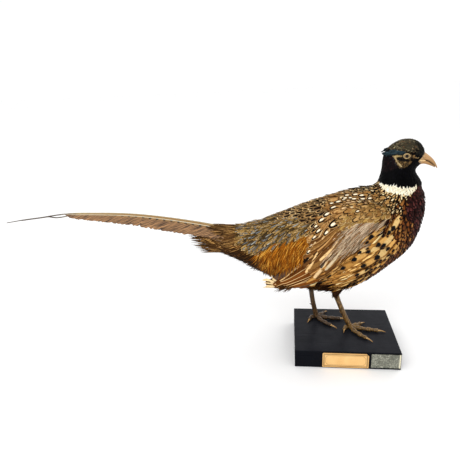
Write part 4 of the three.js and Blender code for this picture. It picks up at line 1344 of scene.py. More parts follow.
# %% Lay the stray barbs
STRAYS = (("under_rump", 0.30, 1.25, 8.0), ("tail_covert", 0.14, 1.1, 1.2), ("belly", 0.14, 1.15, 7.0),
          ("thigh", 0.30, 1.6, 6.0), ("rust", 0.08, 1.05, 3.0), ("rump", 0.03, 1.0, 3.5))
for kind, share, longer, lift in STRAYS:
    root = roots[kind][chance.random(len(roots[kind])) < share]
    count, cut, plume = len(root), CUTS["lock"], PLUMAGE[kind]
    place, out = settle(root)
    aim = unit(lie_at(place, out) + (0.12 if kind == "tail_covert" else 0.35) * chance.normal(size=(count, 3)))
    deep = depth_at(place)
    length = plume["long"] * longer * chance.uniform(0.8, 1.15, count)
    laid = lay(cut, root, aim, length, np.full(count, 0.75), 1.0, 0.5 * deep, deep,
               chance.uniform(0.2, 1.0, count) * lift)
    add_feathers("coat_stray_barbs", cut, place, laid, plume)
FINISH["coat_stray_barbs"] = barb_keratin
print("stray barbs:", sum(len(part[1]) for part in pieces["coat_stray_barbs"]))

# %% [markdown]
# Now the rows of feathers are joined to one mesh for each part of the coat.

# %% Join the coat
for name, parts in pieces.items():
    coat_piece(name, parts, FINISH.get(name, soft_keratin))

# %% [markdown]
# ## Glass eyes
#
# A taxidermist's eye is a glass ball with the iris and pupil fired or painted behind a clear dome.
# Seen from outside it is one smooth, very glossy surface with a picture in it. So it is a ball with
# a slightly raised dome, painted by how far each point lies from the axis of sight, under a clear
# coat that gives the wet highlight.

# %% Eyes
glass, tree, shader = blank_material("painted_eye_glass", Roughness=0.12, IOR=1.52, Specular_IOR_Level=0.12,
                                     Coat_Weight=0.12, Coat_Roughness=0.03)
sight = put(tree, "Attribute", attribute_name="sight")
from_axis = put(tree, "SeparateXYZ", {"Vector": sight.outputs["Vector"]})
rays = put(tree, "TexNoise", {"Vector": sight.outputs["Vector"], "Scale": 1.6, "Detail": 2.0})
colour = put(tree, "Mix", {0: rays, 6: linear("#65502f"), 7: linear("#b49a70")}, **COLOURS)
for low, high, inner, outer in ((2.35, 2.6, "#040202", None), (4.1, 4.8, None, "#0e0806")):
    fade = put(tree, "MapRange", {"Value": from_axis.outputs["Z"], 1: low, 2: high}, **SOFTLY)
    before, after = (linear(inner), colour) if inner else (colour, linear(outer))
    colour = put(tree, "Mix", {0: fade, 6: before, 7: after}, **COLOURS)
feed(tree, colour, shader.inputs["Base Color"])

for side, centre in EYES.items():
    out, ahead, over = eye_plane(side)
    rings, told = [], []
    turns = np.linspace(0, 2 * math.pi, 40, endpoint=False)
    for lean in np.linspace(0.02, math.pi - 0.02, 34):
        dome = EYEBALL + 0.35 * math.exp(-(lean / 0.5) ** 2)
        rim = np.cos(turns)[:, None] * ahead + np.sin(turns)[:, None] * over
        rings.append(centre + dome * (math.cos(lean) * out + math.sin(lean) * rim))
        off = dome * math.sin(lean) if lean < math.pi / 2 else 9.0  # the back half counts as far from the axis
        told.append(np.stack([np.cos(turns) * 4, np.sin(turns) * 4, np.full(40, off)], 1))
    points, faces = tube(np.array(rings))
    told = np.vstack([np.concatenate(told), (0, 0, 0), (0, 0, 9)])
    flat = np.stack([points @ ahead, points @ over], 1)
    flat = (flat - flat.min(0)) / np.ptp(flat, axis=0)
    flat[:, 0] = 0.02 + 0.45 * flat[:, 0] + 0.5 * ((points - centre) @ out < 0)
    eye = piece_from("glass_eye_" + side, points, faces, glass, flat, {"sight": told})
    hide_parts("eye_" + side)
print("eyeball across:", 2 * EYEBALL, "mm, pupil across: 5.3 mm")

# %% [markdown]
# ## The bill
#
# The bill is horn over bone: the same keratin as a fingernail, laid down in long thin layers. It is
# smooth and faintly translucent, with a soft gloss, darker streaks along its length and a paler
# edge. The upper half hooks over the lower. Over each nostril lies a small swollen scale.

# %% Bill
horn, tree, shader = blank_material("bill_horn", Roughness=0.38, IOR=1.55, Subsurface_Weight=0.08,
                                    Subsurface_Radius=(0.004, 0.002, 0.001), Specular_IOR_Level=0.4)
tint = put(tree, "Attribute", attribute_name="markings")
where = put(tree, "TexCoord")
drawn_out = put(tree, "Mapping", {"Vector": where.outputs["Object"], "Scale": (120, 700, 420)})
layers = put(tree, "TexNoise", {"Vector": drawn_out, "Scale": 1.0, "Detail": 3.0})
light = put(tree, "MapRange", {"Value": layers, 1: 0.3, 2: 0.7, 3: 0.86, 4: 1.1})
colour = put(tree, "Mix", {0: 1.0, 6: tint, 7: light}, **TIMES)
relief = put(tree, "Bump", {"Height": layers, "Distance": 0.0001, "Strength": 0.5})
feed(tree, colour, shader.inputs["Base Color"])
feed(tree, relief, shader.inputs["Normal"])

UPPER = [(107, 343, 104, 326.6, 6.8), (114.5, 338, 113, 326.4, 6.2), (121, 333, 120, 324.8, 5.2),
         (127.5, 327, 126.5, 320.2, 3.9), (132, 320.5, 131, 316, 2.5), (135.0, 313.9, 134.4, 312.5, 0.8)]
LOWER = [(104, 327.6, 106, 318.4, 5.8), (112.6, 327.4, 113.6, 320.0, 5.4), (119.4, 326.0, 120.5, 318.3, 4.5),
         (125.9, 321.8, 127, 315.8, 3.3), (130.6, 317.0, 131.0, 313.8, 1.8)]


def horn_rings(stations, widest, count, sides):
    line = spline(stations, count)
    turns = np.linspace(0, 2 * math.pi, sides, endpoint=False)
    rings = []
    for bx, bz, lx, lz, half in line:
        up = np.array([bx - lx, 0, bz - lz])
        tall = np.linalg.norm(up)
        up /= tall
        centre = np.array([lx, 0, lz]) + up * tall * widest
        reach = np.where(np.cos(turns) > 0, tall * (1 - widest), tall * widest)
        across = np.sin(turns) * half * (1 - 0.10 * np.clip(np.cos(turns), 0, 1) ** 2)
        rings.append(centre + up * (np.cos(turns) * reach)[:, None] + np.array([0, 1, 0]) * across[:, None])
    return np.array(rings)


for name, stations, widest in (("bill_upper", UPPER, 0.35), ("bill_lower", LOWER, 0.65)):
    rings = horn_rings(stations, widest, 34, 32)
    points, faces = tube(rings)
    x, y, z = points.T
    if name == "bill_upper":
        swell = np.exp(-(((x - 112.5) / 3.6) ** 2 + ((z - 333.2 + 0.25 * (x - 112)) / 1.5) ** 2) ** 1.5)
        points[:, 1] += np.sign(y) * 0.8 * swell * (abs(y) > 2)
    tip = np.clip((x - 104) / 30, 0, 1)[:, None]
    base_code, tip_code = ("#c89c69", "#ab7f4c") if name == "bill_upper" else ("#bb8c55", "#a2763f")
    colour = painted(np.array(linear(base_code)), tip_code, tip)
    ridge_dark = np.exp(-(y / 1.4) ** 2)[:, None] * (0.3 if name == "bill_upper" else 0.1)
    colour = painted(colour, "#8f6a45", ridge_dark)
    if name == "bill_upper":
        slit = np.exp(-(((x - 113.6) / 2.4) ** 2 + ((z - 331.2 + 0.35 * (x - 113)) / 0.55) ** 2) ** 2)[:, None]
        colour = painted(colour, "#3c2414", 0.8 * slit)
        cutting = np.exp(-((z - np.interp(x, [104, 113, 120, 126.5, 131, 134.4],
                                          [326.6, 326.4, 324.8, 320.2, 316, 312.5])) / 0.9) ** 2)[:, None]
        colour = painted(colour, "#e8c894", 0.35 * cutting)
        # Painted shadow along the gape: the underside of the upper bill is made dark.
        colour = np.where((z < np.interp(x, [104, 113, 120, 126.5, 131, 134.4],
                                         [327.2, 327, 325.4, 320.8, 316.6, 313])
                           - 0.4)[:, None], np.array(linear("#5b3d22")), colour)
    else:
        # Painted shadow: the lower bill darkens towards its top edge, under the upper bill.
        shade = np.clip((z - np.interp(x, [104, 112.6, 119.4, 125.9, 130.6],
                                       [325.4, 325.2, 323.6, 319.0, 315])) / 0.9,
                        0, 1)[:, None]
        colour = painted(colour, "#33200f", shade)
    turn = np.arctan2(y, z - 326) / (2 * math.pi) + 0.5
    made = piece_from(name + "_horn", points, faces, horn,
                      np.stack([0.03 + 0.94 * (x - x.min()) / np.ptp(x), 0.03 + 0.94 * turn], 1),
                      {"markings": colour})
    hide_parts(name)
print("bill length:", round(135 - 104), "mm")

# %% [markdown]
# The dried edge of each lid is a thin pale cord round the glass, drawn out to a corner before and
# behind. It is a tube on an almond line that stands on the eyeball.

# %% Lid edges
for side, centre in EYES.items():
    out, ahead, over = eye_plane(side)
    turns, ring = np.linspace(0, 2 * math.pi, 64, endpoint=False), np.linspace(0, 2 * math.pi, 10, endpoint=False)
    u = 5.0 * np.cos(turns)
    v = 3.6 * np.sin(turns) * (1 - 0.18 * np.cos(turns) ** 4)
    w = np.sqrt(np.maximum(EYEBALL ** 2 - np.minimum(np.hypot(u, v), 5.0) ** 2, 0)) + 0.75
    line = centre + u[:, None] * ahead + v[:, None] * over + w[:, None] * out
    along = unit(np.roll(line, -1, 0) - np.roll(line, 1, 0))
    inward = unit(np.cross(along, out))
    wide = 0.5 + 0.1 * np.sin(turns * 3 + 1)
    points = (line[:, None] + (np.cos(ring)[None, :, None] * inward[:, None] + np.sin(ring)[None, :, None] * out)
              * wide[:, None, None]).reshape(-1, 3)
    at = np.arange(64)[:, None] * 10 + np.arange(10)
    faces = np.stack([at, np.roll(at, -1, 1), np.roll(np.roll(at, -1, 0), -1, 1), np.roll(at, -1, 0)],
                     -1).reshape(-1, 4)
    mottle = (0.85 + 0.2 * grain(points, 1.6, 21)).clip(0.5, 1.1)[:, None]
    uv = np.stack(np.broadcast_arrays(0.05 + 0.9 * np.minimum(turns, 2 * math.pi - turns)[:, None] / math.pi,
                                      0.05 + 0.9 * np.arange(10)[None] / 9), -1).reshape(-1, 2)
    piece_from("lid_edge_" + side, points, faces, horn, uv,
               {"markings": np.array(linear("#c4a873")) * mottle})
print("lid edges laid")

# %% [markdown]
# The corner of the mouth is a soft yellow fold that runs back from the bill into the face. It is a
# slim tapering roll laid along the skin.

# %% Corner of the mouth
for side, way in (("right", -1), ("left", 1)):
    knots = spline([(115, way * 5.2, 326.0), (110.5, way * 7.0, 326.6), (107, way * 8.8, 327.4),
                    (103.5, way * 11.2, 328.6)], 14)
    place, out = settle(knots)
    close = np.clip(np.linspace(-0.6, 1.2, 14), 0, 0.8)[:, None]
    knots = knots * (1 - close) + (place + out * 0.6) * close
    turns = np.linspace(0, 2 * math.pi, 12, endpoint=False)
    rings = []
    for i, knot in enumerate(knots):
        ahead = unit(knots[min(i + 1, 13)] - knots[max(i - 1, 0)])
        side_way = unit(np.cross(ahead, (0, 0, 1)))
        over = np.cross(side_way, ahead)
        size = 1.3 * math.sin(math.pi * min(0.5, (13 - i) / 13 + 0.06)) * min(1, 0.35 + i / 5) + 0.1
        rings.append(knot + np.cos(turns)[:, None] * side_way * size * 0.9 + np.sin(turns)[:, None] * over * size)
    points, faces = tube(np.array(rings))
    colour = np.tile(linear("#e6c58b"), (len(points), 1))
    piece_from("mouth_corner_" + side, points, faces, horn,
               np.stack([0.05 + 0.9 * (points[:, 0] - 102) / 14, 0.5 + 0.4 * (points[:, 2] - 327) / 6],
                        1).clip(0, 1),
               {"markings": colour})
print("mouth corners laid")

# %% [markdown]
# ## Shanks, toes and claws
#
# A bird's shank is skin turned to horny plates: broad ones down the front, called scutes, and small
# ones behind. Each plate overlaps the next by a little, so the outline is faintly stepped. The
# shape is a tube with many rings, whose radius steps with each plate. Dried skin is dull, with
# grime between the plates.

# %% Scaled legs
leg_skin, tree, shader = blank_material("dried_leg_scutes", Roughness=0.3, IOR=1.5, Specular_IOR_Level=0.42)
tint = put(tree, "Attribute", attribute_name="markings")
where = put(tree, "TexCoord")
small = put(tree, "TexVoronoi", {"Vector": where.outputs["Object"], "Scale": 750.0})
grime = put(tree, "TexNoise", {"Vector": where.outputs["Object"], "Scale": 260.0, "Detail": 3.0})
both = put(tree, "Math", {0: small, 1: grime}, operation="ADD")
light = put(tree, "MapRange", {"Value": both, 1: 0.5, 2: 1.15, 3: 1.3, 4: 0.55})
colour = put(tree, "Mix", {0: 1.0, 6: tint, 7: light}, **TIMES)
relief = put(tree, "Bump", {"Height": small, "Distance": 0.0003, "Strength": 0.7})
relief.invert = True
feed(tree, colour, shader.inputs["Base Color"])
feed(tree, relief, shader.inputs["Normal"])

print("leg skin:", leg_skin.name)

# %% [markdown]
# Each leg is drawn from its heel, its foot and the plan of four toes: the direction in which a toe
# starts and ends, its length, and the length of its claw. Toes lie on the block's top.

# %% Plan of the legs
FLOOR = 32.3
LEGS = {
    "right": dict(heel=(-14.5, -15.5, 97), foot=(11.5, -16.5, 39), toes={
        "outer": (-66, -44, 42, 12), "middle": (-16, -8, 48, 12), "inner": (24, 36, 24, 9),
        "hind": (-172, -104, 15, 8)}),
    "left": dict(heel=(-55.5, 15.5, 97), foot=(-44.5, 16.4, 39), toes={
        "outer": (38, 52, 22, 9), "middle": (-14, 0, 43, 12), "inner": (-62, -38, 38, 12),
        "hind": (-168, -112, 18, 9)}),
}


print("toes rest at", FLOOR, "mm")

# %% [markdown]
# One tube serves shank, spur, toes and claws. Its radius steps with each plate on the side that the
# plates lie on, and it keeps how deep each point lies in a seam, where grime gathers, together with
# painted shade on the side away from the plates and painted light on the plated side.

# %% A tube with plates
def stepped(along, pitch):
    """A plate's swelling: it rises slowly and ends at a short step."""
    part = (along / pitch) % 1.0
    return part * (part < 0.86) + (1 - part) / 0.14 * 0.86 * (part >= 0.86)


def leg_tube(knots, wide, deep, pitch, plate, front, count, sides):
    """A tube along the knots; plates step its radius on the side that front points to."""
    line = spline(knots, count)
    along = np.concatenate([[0], np.cumsum(np.linalg.norm(np.diff(line, axis=0), axis=1))])
    turns = np.linspace(0, 2 * math.pi, sides, endpoint=False)
    rings, seams_and_shade = [], []
    for i in range(count):
        ahead = unit(line[min(i + 1, count - 1)] - line[max(i - 1, 0)])
        over = unit(front - ahead * (front @ ahead))
        aside = np.cross(ahead, over)
        facing = np.clip(np.cos(turns) * 1.4, 0, 1)
        behind = np.clip(-np.cos(turns) * 1.4, 0, 1)
        swell = 1 + plate * facing * (stepped(along[i], pitch) - 0.4) + plate * 0.6 * behind * (
            stepped(along[i] + pitch * 0.3, pitch * 0.62) - 0.4)
        rings.append(line[i] + (np.cos(turns) * deep[i] * swell)[:, None] * over
                     + (np.sin(turns) * wide[i] * (0.5 + 0.5 * swell))[:, None] * aside)
        seam = np.exp(-(((along[i] / pitch) % 1.0 - 0.93) / 0.09) ** 2) * facing
        # Painted shade on the side away from the plates, and painted light on the plated side, such as a toe's top.
        seam += 0.62 * np.clip(0.35 - np.cos(turns - 0.25), 0, 1) - 0.16 * facing
        seams_and_shade.append(seam)
    points, faces = tube(np.array(rings))
    seams_and_shade = np.concatenate(seams_and_shade)
    shares = np.repeat(np.linspace(0, 1, count), sides)
    uv = np.stack([0.02 + 0.96 * shares, np.tile(turns / (2 * math.pi) * 0.94 + 0.03, count)], 1)
    extra = len(points) - len(seams_and_shade)
    return points, faces, np.append(seams_and_shade, [0] * extra), np.vstack([uv, np.full((extra, 2), 0.01)])


def merged(parts, strips):
    """Joins tubes into one mesh. Each gets its own strip of the texture."""
    points, blocks, seams_and_shade, uv, first = [], {}, [], [], 0
    for n, (p, fs, s, m) in enumerate(parts):
        points.append(p)
        seams_and_shade.append(s)
        uv.append(np.stack([m[:, 0], (n + m[:, 1]) / strips], 1))
        for f in fs:
            blocks.setdefault(f.shape[1], []).append(f + first)
        first += len(p)
    return (np.concatenate(points), [np.concatenate(f) for f in blocks.values()],
            np.concatenate(seams_and_shade), np.concatenate(uv))


def toe_line(start, plan):
    line, (first, last, length, _) = [np.array(start, float)], plan
    for i, lift in enumerate((0.55, 0.35, 0.25, 0.1)):
        heading = math.radians(first + (last - first) * i / 3)
        step = np.array([math.cos(heading), math.sin(heading), 0]) * length / 4
        point = line[-1] + step
        point[2] = FLOOR + 3.3 + (2.5 - 3.3) * (i + 1) / 4 + lift
        line.append(point)
    return line


print("a plate swells to", stepped(np.array([0.0, 2.9, 3.3]), 3.4).round(2))

# %% [markdown]
# Now each leg is built from the heel down: shank and spur, then the ball of the foot with its
# toes, and a claw of horn on every toe.

# %% Shanks, feet and claws
UP = np.array([0.0, 0, 1])
for side, leg in LEGS.items():
    heel, foot = np.array(leg["heel"], float), np.array(leg["foot"], float)
    middle = (heel + foot) / 2 + (-1.6, 0, 1)
    share = np.linspace(0, 1, 84)
    swell = np.exp(-(share / 0.12) ** 2) + 0.6 * np.exp(-((1 - share) / 0.12) ** 2)
    deep = 4.0 + (4.9 - 4.0) * swell
    shank = leg_tube([heel + (0, 0, 2), middle, foot + (0, 0, -2.4)], deep * 0.92, deep * 1.08, 3.4, 0.09,
                     np.array([1.0, 0, 0.2]), 84, 20)
    sign = -1 if side == "right" else 1
    start = heel + (foot - heel) * 0.62
    grow = np.linspace(0, 1, 16)
    spur = leg_tube([start + (-1, -sign * 1.0, 0), start + (-5, -sign * 2, 0.4), start + (-8.4, -sign * 2.4, 2.2)],
                    2.2 * (1 - 0.86 * grow), 2.4 * (1 - 0.86 * grow), 9, 0.0, UP, 16, 12)
    points, faces, seams_and_shade, uv = merged([shank, spur], 2)
    # Grime in the seams, with painted shade on the side of the shank away from the plates.
    grime_and_shade = np.clip(0.8 * seams_and_shade + 0.25 * grain(points, 7, 8) + 0.12, 0, 1)[:, None]
    # The far, left leg takes a darker copy of the same colour, as painted shade.
    base = "#82602f" if side == "right" else "#5d4325"
    colour = painted(np.array(linear(base)), "#2a1a0d", grime_and_shade)
    streaks = 1.05 + 0.8 * grain(points * (1, 1, 0.16), 2.2, 31)  # worn and grimy, drawn out down the shank
    colour *= streaks.clip(0.45, 1.9)[:, None]
    made = piece_from("scaled_shank_" + side, points, faces, leg_skin, uv, {"markings": colour})
    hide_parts("shank_" + side)

    spread = np.array([foot[0], foot[1], FLOOR + 4.2])
    parts = []
    turns = np.linspace(0, 2 * math.pi, 20, endpoint=False)
    ball = np.array([spread + np.stack([5.2 * math.sin(a) * np.cos(turns), 4.6 * math.sin(a) * np.sin(turns),
                                        np.full(20, 4.2 * math.cos(a))], 1) for a in np.linspace(0.05, 3.09, 16)])
    ball_points, ball_faces = tube(ball)
    parts.append((ball_points, ball_faces, np.zeros(len(ball_points)), np.full((len(ball_points), 2), 0.5)))
    instep = leg_tube([foot + (0.3, 0, -1), foot + (0.6, 0, -3.4), spread + (0, 0, -0.5)],
                      np.linspace(3.6, 4.4, 12), np.linspace(4.2, 4.8, 12), 3, 0.05, np.array([1.0, 0, 0.2]),
                      12, 20)
    parts.append(instep)
    for toe, plan in leg["toes"].items():
        line = toe_line(spread, plan)
        count = int(plan[2] * 1.5) + 6
        along = np.linspace(0, 1, count)
        pads = 1 + 0.20 * np.cos(2 * math.pi * (3 if plan[2] > 30 else 2) * along) * (1 - 0.3 * along)
        radius = (3.6 + (2.9 - 3.6) * along) * pads
        radius[-2:] *= (0.93, 0.7)
        parts.append(leg_tube(line, radius * 1.08, radius, 2.3, 0.13, UP, count, 16))
    points, faces, seams_and_shade, uv = merged(parts, len(parts))
    points[:, 2] = np.maximum(points[:, 2], FLOOR + 0.02)
    # Painted contact shadow: the foot darkens where it comes down to the block's top.
    under = np.clip((FLOOR + 2.4 - points[:, 2]) / 2, 0, 1)
    grime_and_shade = np.clip(0.7 * seams_and_shade + 0.25 * grain(points, 6, 9) + 0.10 + 0.7 * under, 0, 1)[:, None]
    # The far, left foot takes a darker copy of the same colour, as painted shade.
    base = "#80602f" if side == "right" else "#5b4226"
    colour = painted(np.array(linear(base)), "#1f1208", grime_and_shade)
    # Random mottling, and a painted highlight along the tops of the toes.
    wear_and_highlight = 0.8 + 0.6 * grain(points, 2.6, 32) + 0.55 * np.clip((points[:, 2] - FLOOR - 4.2) / 2.4, 0, 1)
    colour *= wear_and_highlight.clip(0.4, 1.9)[:, None]
    made = piece_from("scaled_foot_" + side, points, faces, leg_skin, uv, {"markings": colour})
    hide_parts("foot_" + side)

    for toe, plan in leg["toes"].items():
        end, heading = toe_line(spread, plan)[-1], math.radians(plan[1])
        ahead = np.array([math.cos(heading), math.sin(heading), 0])
        knots = []
        for s in (-0.12, 0.0, 0.35, 0.7, 1):
            point = end + ahead * (0.3 + plan[3] * s)
            point[2] = end[2] + 0.4 * math.sin(max(s, 0) * 3) + (FLOOR + 0.7 - end[2]) * max(s, 0) ** 1.6
            knots.append(point)
        s = np.linspace(0, 1, 20)
        points, faces, _, uv = leg_tube(knots, 1.75 * (1 - 0.8 * s), 1.95 * (1 - 0.72 * s), 5, 0.0, UP, 20, 14)
        far = np.clip((points - end) @ ahead / plan[3], 0, 1)[:, None]
        colour = painted(np.array(linear("#cda366")), "#9c7440", far)
        made = piece_from(f"horn_claw_{side}_{toe}", points, faces, horn, uv, {"markings": colour})
        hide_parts(f"claw_{side}_{toe}")
print("legs and claws made")

# %% [markdown]
# ## The long tail
#
# A cock's tail is eighteen stiff feathers that fold like a fan under the middle pair. Each vane
# falls away from a pale shaft, tan with narrow dark bars near the shaft and a frayed, purplish
# fringe outside. Here every vane is a thin closed sheet that follows the same folded roof as its
# solid, with nicks where the barbs have parted, and a round shaft along its top.

# %% Tail feather material
tail_keratin, tree, shader = blank_material("barred_tail_feather_keratin", Roughness=0.55, IOR=1.54,
                                            Specular_IOR_Level=0.3, Sheen_Weight=0.1)
told = put(tree, "SeparateXYZ", {"Vector": put(tree, "Attribute", attribute_name="vane").outputs["Vector"]})
barb_at = put(tree, "Attribute", attribute_name="barbs").outputs["Vector"]
streaks = put(tree, "TexNoise", {"Vector": barb_at, "Scale": 1.0, "Detail": 2.0})
edge_amount = put(tree, "MapRange", {"Value": told.outputs["X"], 1: 0.04, 2: 0.22}, **SOFTLY)
hairs = put(tree, "MapRange", {"Value": streaks, 1: 0.36, 2: 0.62})
outer_web = put(tree, "Mix", {0: hairs, 6: linear("#2e1b0e"), 7: linear("#a87c50")}, **COLOURS)
by_ridge = put(tree, "MapRange", {"Value": told.outputs["X"], 1: -0.36, 2: -0.24, 3: 1.0, 4: 0.0})
inner_web = put(tree, "Mix", {0: by_ridge, 6: linear("#94713f"), 7: linear("#a8966a")}, **COLOURS)
vane_colour = put(tree, "Mix", {0: edge_amount, 6: inner_web, 7: outer_web}, **COLOURS)
# The bars stand 13 mm apart and fade towards the edge of the vane.
bar_step = put(tree, "Math", {0: told.outputs["Y"], 1: 12.5}, operation="DIVIDE")
bar_part = put(tree, "Math", {0: bar_step}, operation="FRACT")
bar_gap = put(tree, "Math", {0: bar_part, 1: 0.5}, operation="SUBTRACT")
bar_far = put(tree, "Math", {0: bar_gap}, operation="ABSOLUTE")
bar_on = put(tree, "MapRange", {"Value": bar_far, 1: 0.13, 2: 0.2, 3: 1.0, 4: 0.0})
at_ridge = put(tree, "MapRange", {"Value": told.outputs["X"], 1: -0.5, 2: -0.36, 3: 1.0, 4: 0.0})
shaft_low = put(tree, "MapRange", {"Value": told.outputs["X"], 1: -0.03, 2: 0.01, 3: 0.0, 4: 1.0})
shaft_far = put(tree, "MapRange", {"Value": told.outputs["X"], 1: 0.11, 2: 0.18, 3: 1.0, 4: 0.0})
by_shaft = put(tree, "Math", {0: shaft_low, 1: shaft_far}, operation="MULTIPLY")
faded = put(tree, "Math", {0: at_ridge, 1: by_shaft}, operation="MAXIMUM")
old_end = put(tree, "MapRange", {"Value": told.outputs["Y"], 1: 150.0, 2: 260.0, 3: 1.0, 4: 0.35})
bars = put(tree, "Math", {0: bar_on, 1: faded}, operation="MULTIPLY")
bars = put(tree, "Math", {0: bars, 1: old_end}, operation="MULTIPLY")
vane_colour = put(tree, "Mix", {0: bars, 6: vane_colour, 7: linear("#120a05")}, **COLOURS)
on_shaft = put(tree, "MapRange", {"Value": told.outputs["Z"], 1: 0.4, 2: 0.6})
vane_colour = put(tree, "Mix", {0: on_shaft, 6: vane_colour, 7: linear("#e4dac0")}, **COLOURS)
stained = put(tree, "MapRange", {"Value": told.outputs["Y"], 1: 285.0, 2: 325.0, 3: 0.0, 4: 0.95})
vane_colour = put(tree, "Mix", {0: stained, 6: vane_colour, 7: linear("#3c2a1e")}, **COLOURS)
light = put(tree, "MapRange", {"Value": streaks, 1: 0.25, 2: 0.75, 3: 0.85, 4: 1.15})
vane_colour = put(tree, "Mix", {0: 1.0, 6: vane_colour, 7: light}, **TIMES)
relief = put(tree, "Bump", {"Height": streaks, "Distance": 0.0003, "Strength": 0.6})
feed(tree, vane_colour, shader.inputs["Base Color"])
feed(tree, relief, shader.inputs["Normal"])
print("bars 12.5 mm apart on", tail_keratin.name)

# %% [markdown]
# The feathers lie in pairs under one ridge line. The longest pair is on top, the two longest cross
# the middle, and each pair below is shorter and lower. A vane is narrow at its root, widest soon
# after it and drawn out to a point. Its barbs part in places, which leaves nicks in the edge.

# %% Tail feathers
RIDGE = spline([(-170, 211), (-206, 219), (-244, 227), (-300, 236), (-357, 242.5), (-415, 245), (-475, 245),
                (-506, 242), (-537, 237.5), (-569, 233.5), (-606, 228)], 200)
SHAPE = np.interp(np.linspace(0, 1, 101), [0, .1, .2, .3, .4, .5, .6, .66, .70, .73, 1],
                  [0.55, .88, 1, .97, .86, .72, .54, .42, .30, .045, .02])
TAIL_PAIRS = [(-606, -577, 6.6, 21.5), (-470, -447, 3.5, 19.5), (-392, -372, 6.5, 16.5),
              (-330, -316, 8.0, 15.0), (-288, -276, 9.5, 13.5)]
ROOT = -176
for n, (right_end, left_end, shaft_at, half_most) in enumerate(TAIL_PAIRS):
    for side, end in (("right", right_end), ("left", left_end)):
        sign, crosses = (-1 if side == "right" else 1), n < 2
        layer = 2 * n + (side == "left") if crosses else 2 + n
        length = ROOT - end
        count = int(length / 2.2)
        share = np.linspace(0, 1, count)
        x = ROOT - share * length
        half = np.maximum(0.55, half_most * np.interp(share, np.linspace(0, 1, 101), SHAPE))
        shaft = np.minimum(shaft_at * (1 - share * 0.5), 0.45 * half + 0.6)
        nicks = np.zeros(count)
        for _ in range(int(length / 26)):
            nicks = np.maximum(nicks, chance.uniform(0.03, 0.16) * np.exp(-((share - chance.random())
                                                                           * length / chance.uniform(1.6, 4)) ** 2))
        ragged = 1 - nicks - 0.12 * chance.random(count)
        outer = shaft + half * ragged
        inner = np.minimum(shaft - half * 0.72, -0.5) if crosses else np.maximum(shaft - half * 0.72, 0.15)
        steps = np.array([-1, -0.75, -0.5, -0.25, -0.07, 0.07, 0.25, 0.5, 0.75, 0.9, 1.0])
        y = np.where(steps[None] < 0, shaft[:, None] + (shaft - inner)[:, None] * steps[None],
                     shaft[:, None] + (outer - shaft)[:, None] * steps[None])
        ridge = np.interp(-x, -RIDGE[:, 0], RIDGE[:, 1])
        drop = layer * 1.2 * (1 - 0.25 * (ROOT - x) / (ROOT + 606))
        sag = 4.6 * np.exp(-((x + 499) / 19) ** 4) * (n == 0) * (side == "left")  # the two bare tips part here
        drop = drop + sag
        z = ridge[:, None] - 0.64 * np.sqrt(y ** 2 + 0.6) - drop[:, None]
        # barbs lean back, so a point out on the vane lies further towards the tip
        back = 0.28 * abs(steps)[None] ** 1.5 * half[:, None] * (1 - share[:, None])
        xx = np.maximum(x[:, None] - back, end + 0.0 * back)
        top_side = np.stack([xx, sign * y, z + 0.75], -1)
        low_side = np.stack([xx, sign * y, z + 0.15], -1)[:, ::-1]
        points, faces = tube(np.concatenate([top_side, low_side], 1))
        side_steps = np.concatenate([steps, steps[::-1]])
        vane = np.stack([np.tile(side_steps, count), np.repeat(ROOT - x, 22), np.zeros(count * 22)], 1)
        # Real barbs lie 0.5 mm apart; these streaks are drawn four times coarser.
        barbs = np.stack([0.05 * vane[:, 1], 0.62 * (abs(vane[:, 0]) * np.repeat(half, 22) - vane[:, 1] / 1.4),
                          np.full(len(vane), 3.1 * n + sign)], 1)
        uv = np.stack([np.repeat(0.01 + 0.98 * share, 22), np.tile(np.linspace(0.02, 0.72, 22), count)], 1)
        rings = []
        turns = np.linspace(0, 2 * math.pi, 8, endpoint=False)
        for i in range(0, count, 2):
            size = 0.2 * (1 - share[i]) ** 0.6 + 0.5 + 0.9 * (x[i] < -485) * min(1, (x[i] + 606) / 30)
            lie_z = ridge[i] - 0.64 * math.sqrt(shaft[i] ** 2 + 0.6) - drop[i] + 0.7
            rings.append(np.stack([np.full(8, x[i]), sign * shaft[i] + np.cos(turns) * size,
                                   lie_z + np.sin(turns) * size * 0.7], 1))
        shaft_points, shaft_faces = tube(np.array(rings))
        told_shaft = np.stack([np.full(len(shaft_points), -0.1), ROOT - shaft_points[:, 0],
                               np.ones(len(shaft_points))], 1)
        shaft_uv = np.stack([0.01 + 0.98 * (ROOT - shaft_points[:, 0]) / length,
                             np.append(np.tile(np.linspace(0.78, 0.96, 8), len(rings)), (0.87, 0.87))], 1)
        quads = [faces[0], shaft_faces[0] + len(points)]
        fans = [faces[1], shaft_faces[1] + len(points)]
        vane = np.vstack([vane, np.zeros((2, 3)), told_shaft])
        barbs = np.vstack([barbs, np.zeros((2, 3)), shaft_points * (0.02, 1, 1)])
        uv = np.vstack([uv, np.full((2, 2), 0.01), shaft_uv])
        made = piece_from(f"tail_feather_{n + 1}_{side}", np.vstack([points, shaft_points]),
                          [np.concatenate(quads), np.concatenate(fans)], tail_keratin, uv,
                          {"vane": vane, "barbs": barbs})
        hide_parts(f"tail_{n + 1}_{side}")
print("tail feathers:", 2 * len(TAIL_PAIRS))

# %% [markdown]
# ## Flight feathers of the folded wing
#
# A folded wing stacks its long feathers like a closed fan: primaries at the bottom, pointing to the
# tail, then secondaries, then tertials on top against the back. Each is longer and stiffer than a
# body feather, so each is placed one by one: a line in the side view from root to tip, dropped
# sideways onto the skin, and a height in the stack.

# %% Lay the flight feathers
LONG = Cut([-1, -0.85, -0.6, -0.32, -0.08, 0.08, 0.32, 0.6, 0.85, 1], np.linspace(0, 1, 22) ** 0.85, 0.12)
LONG.t[-4:] = (0.955, 0.975, 0.99, 1.0)


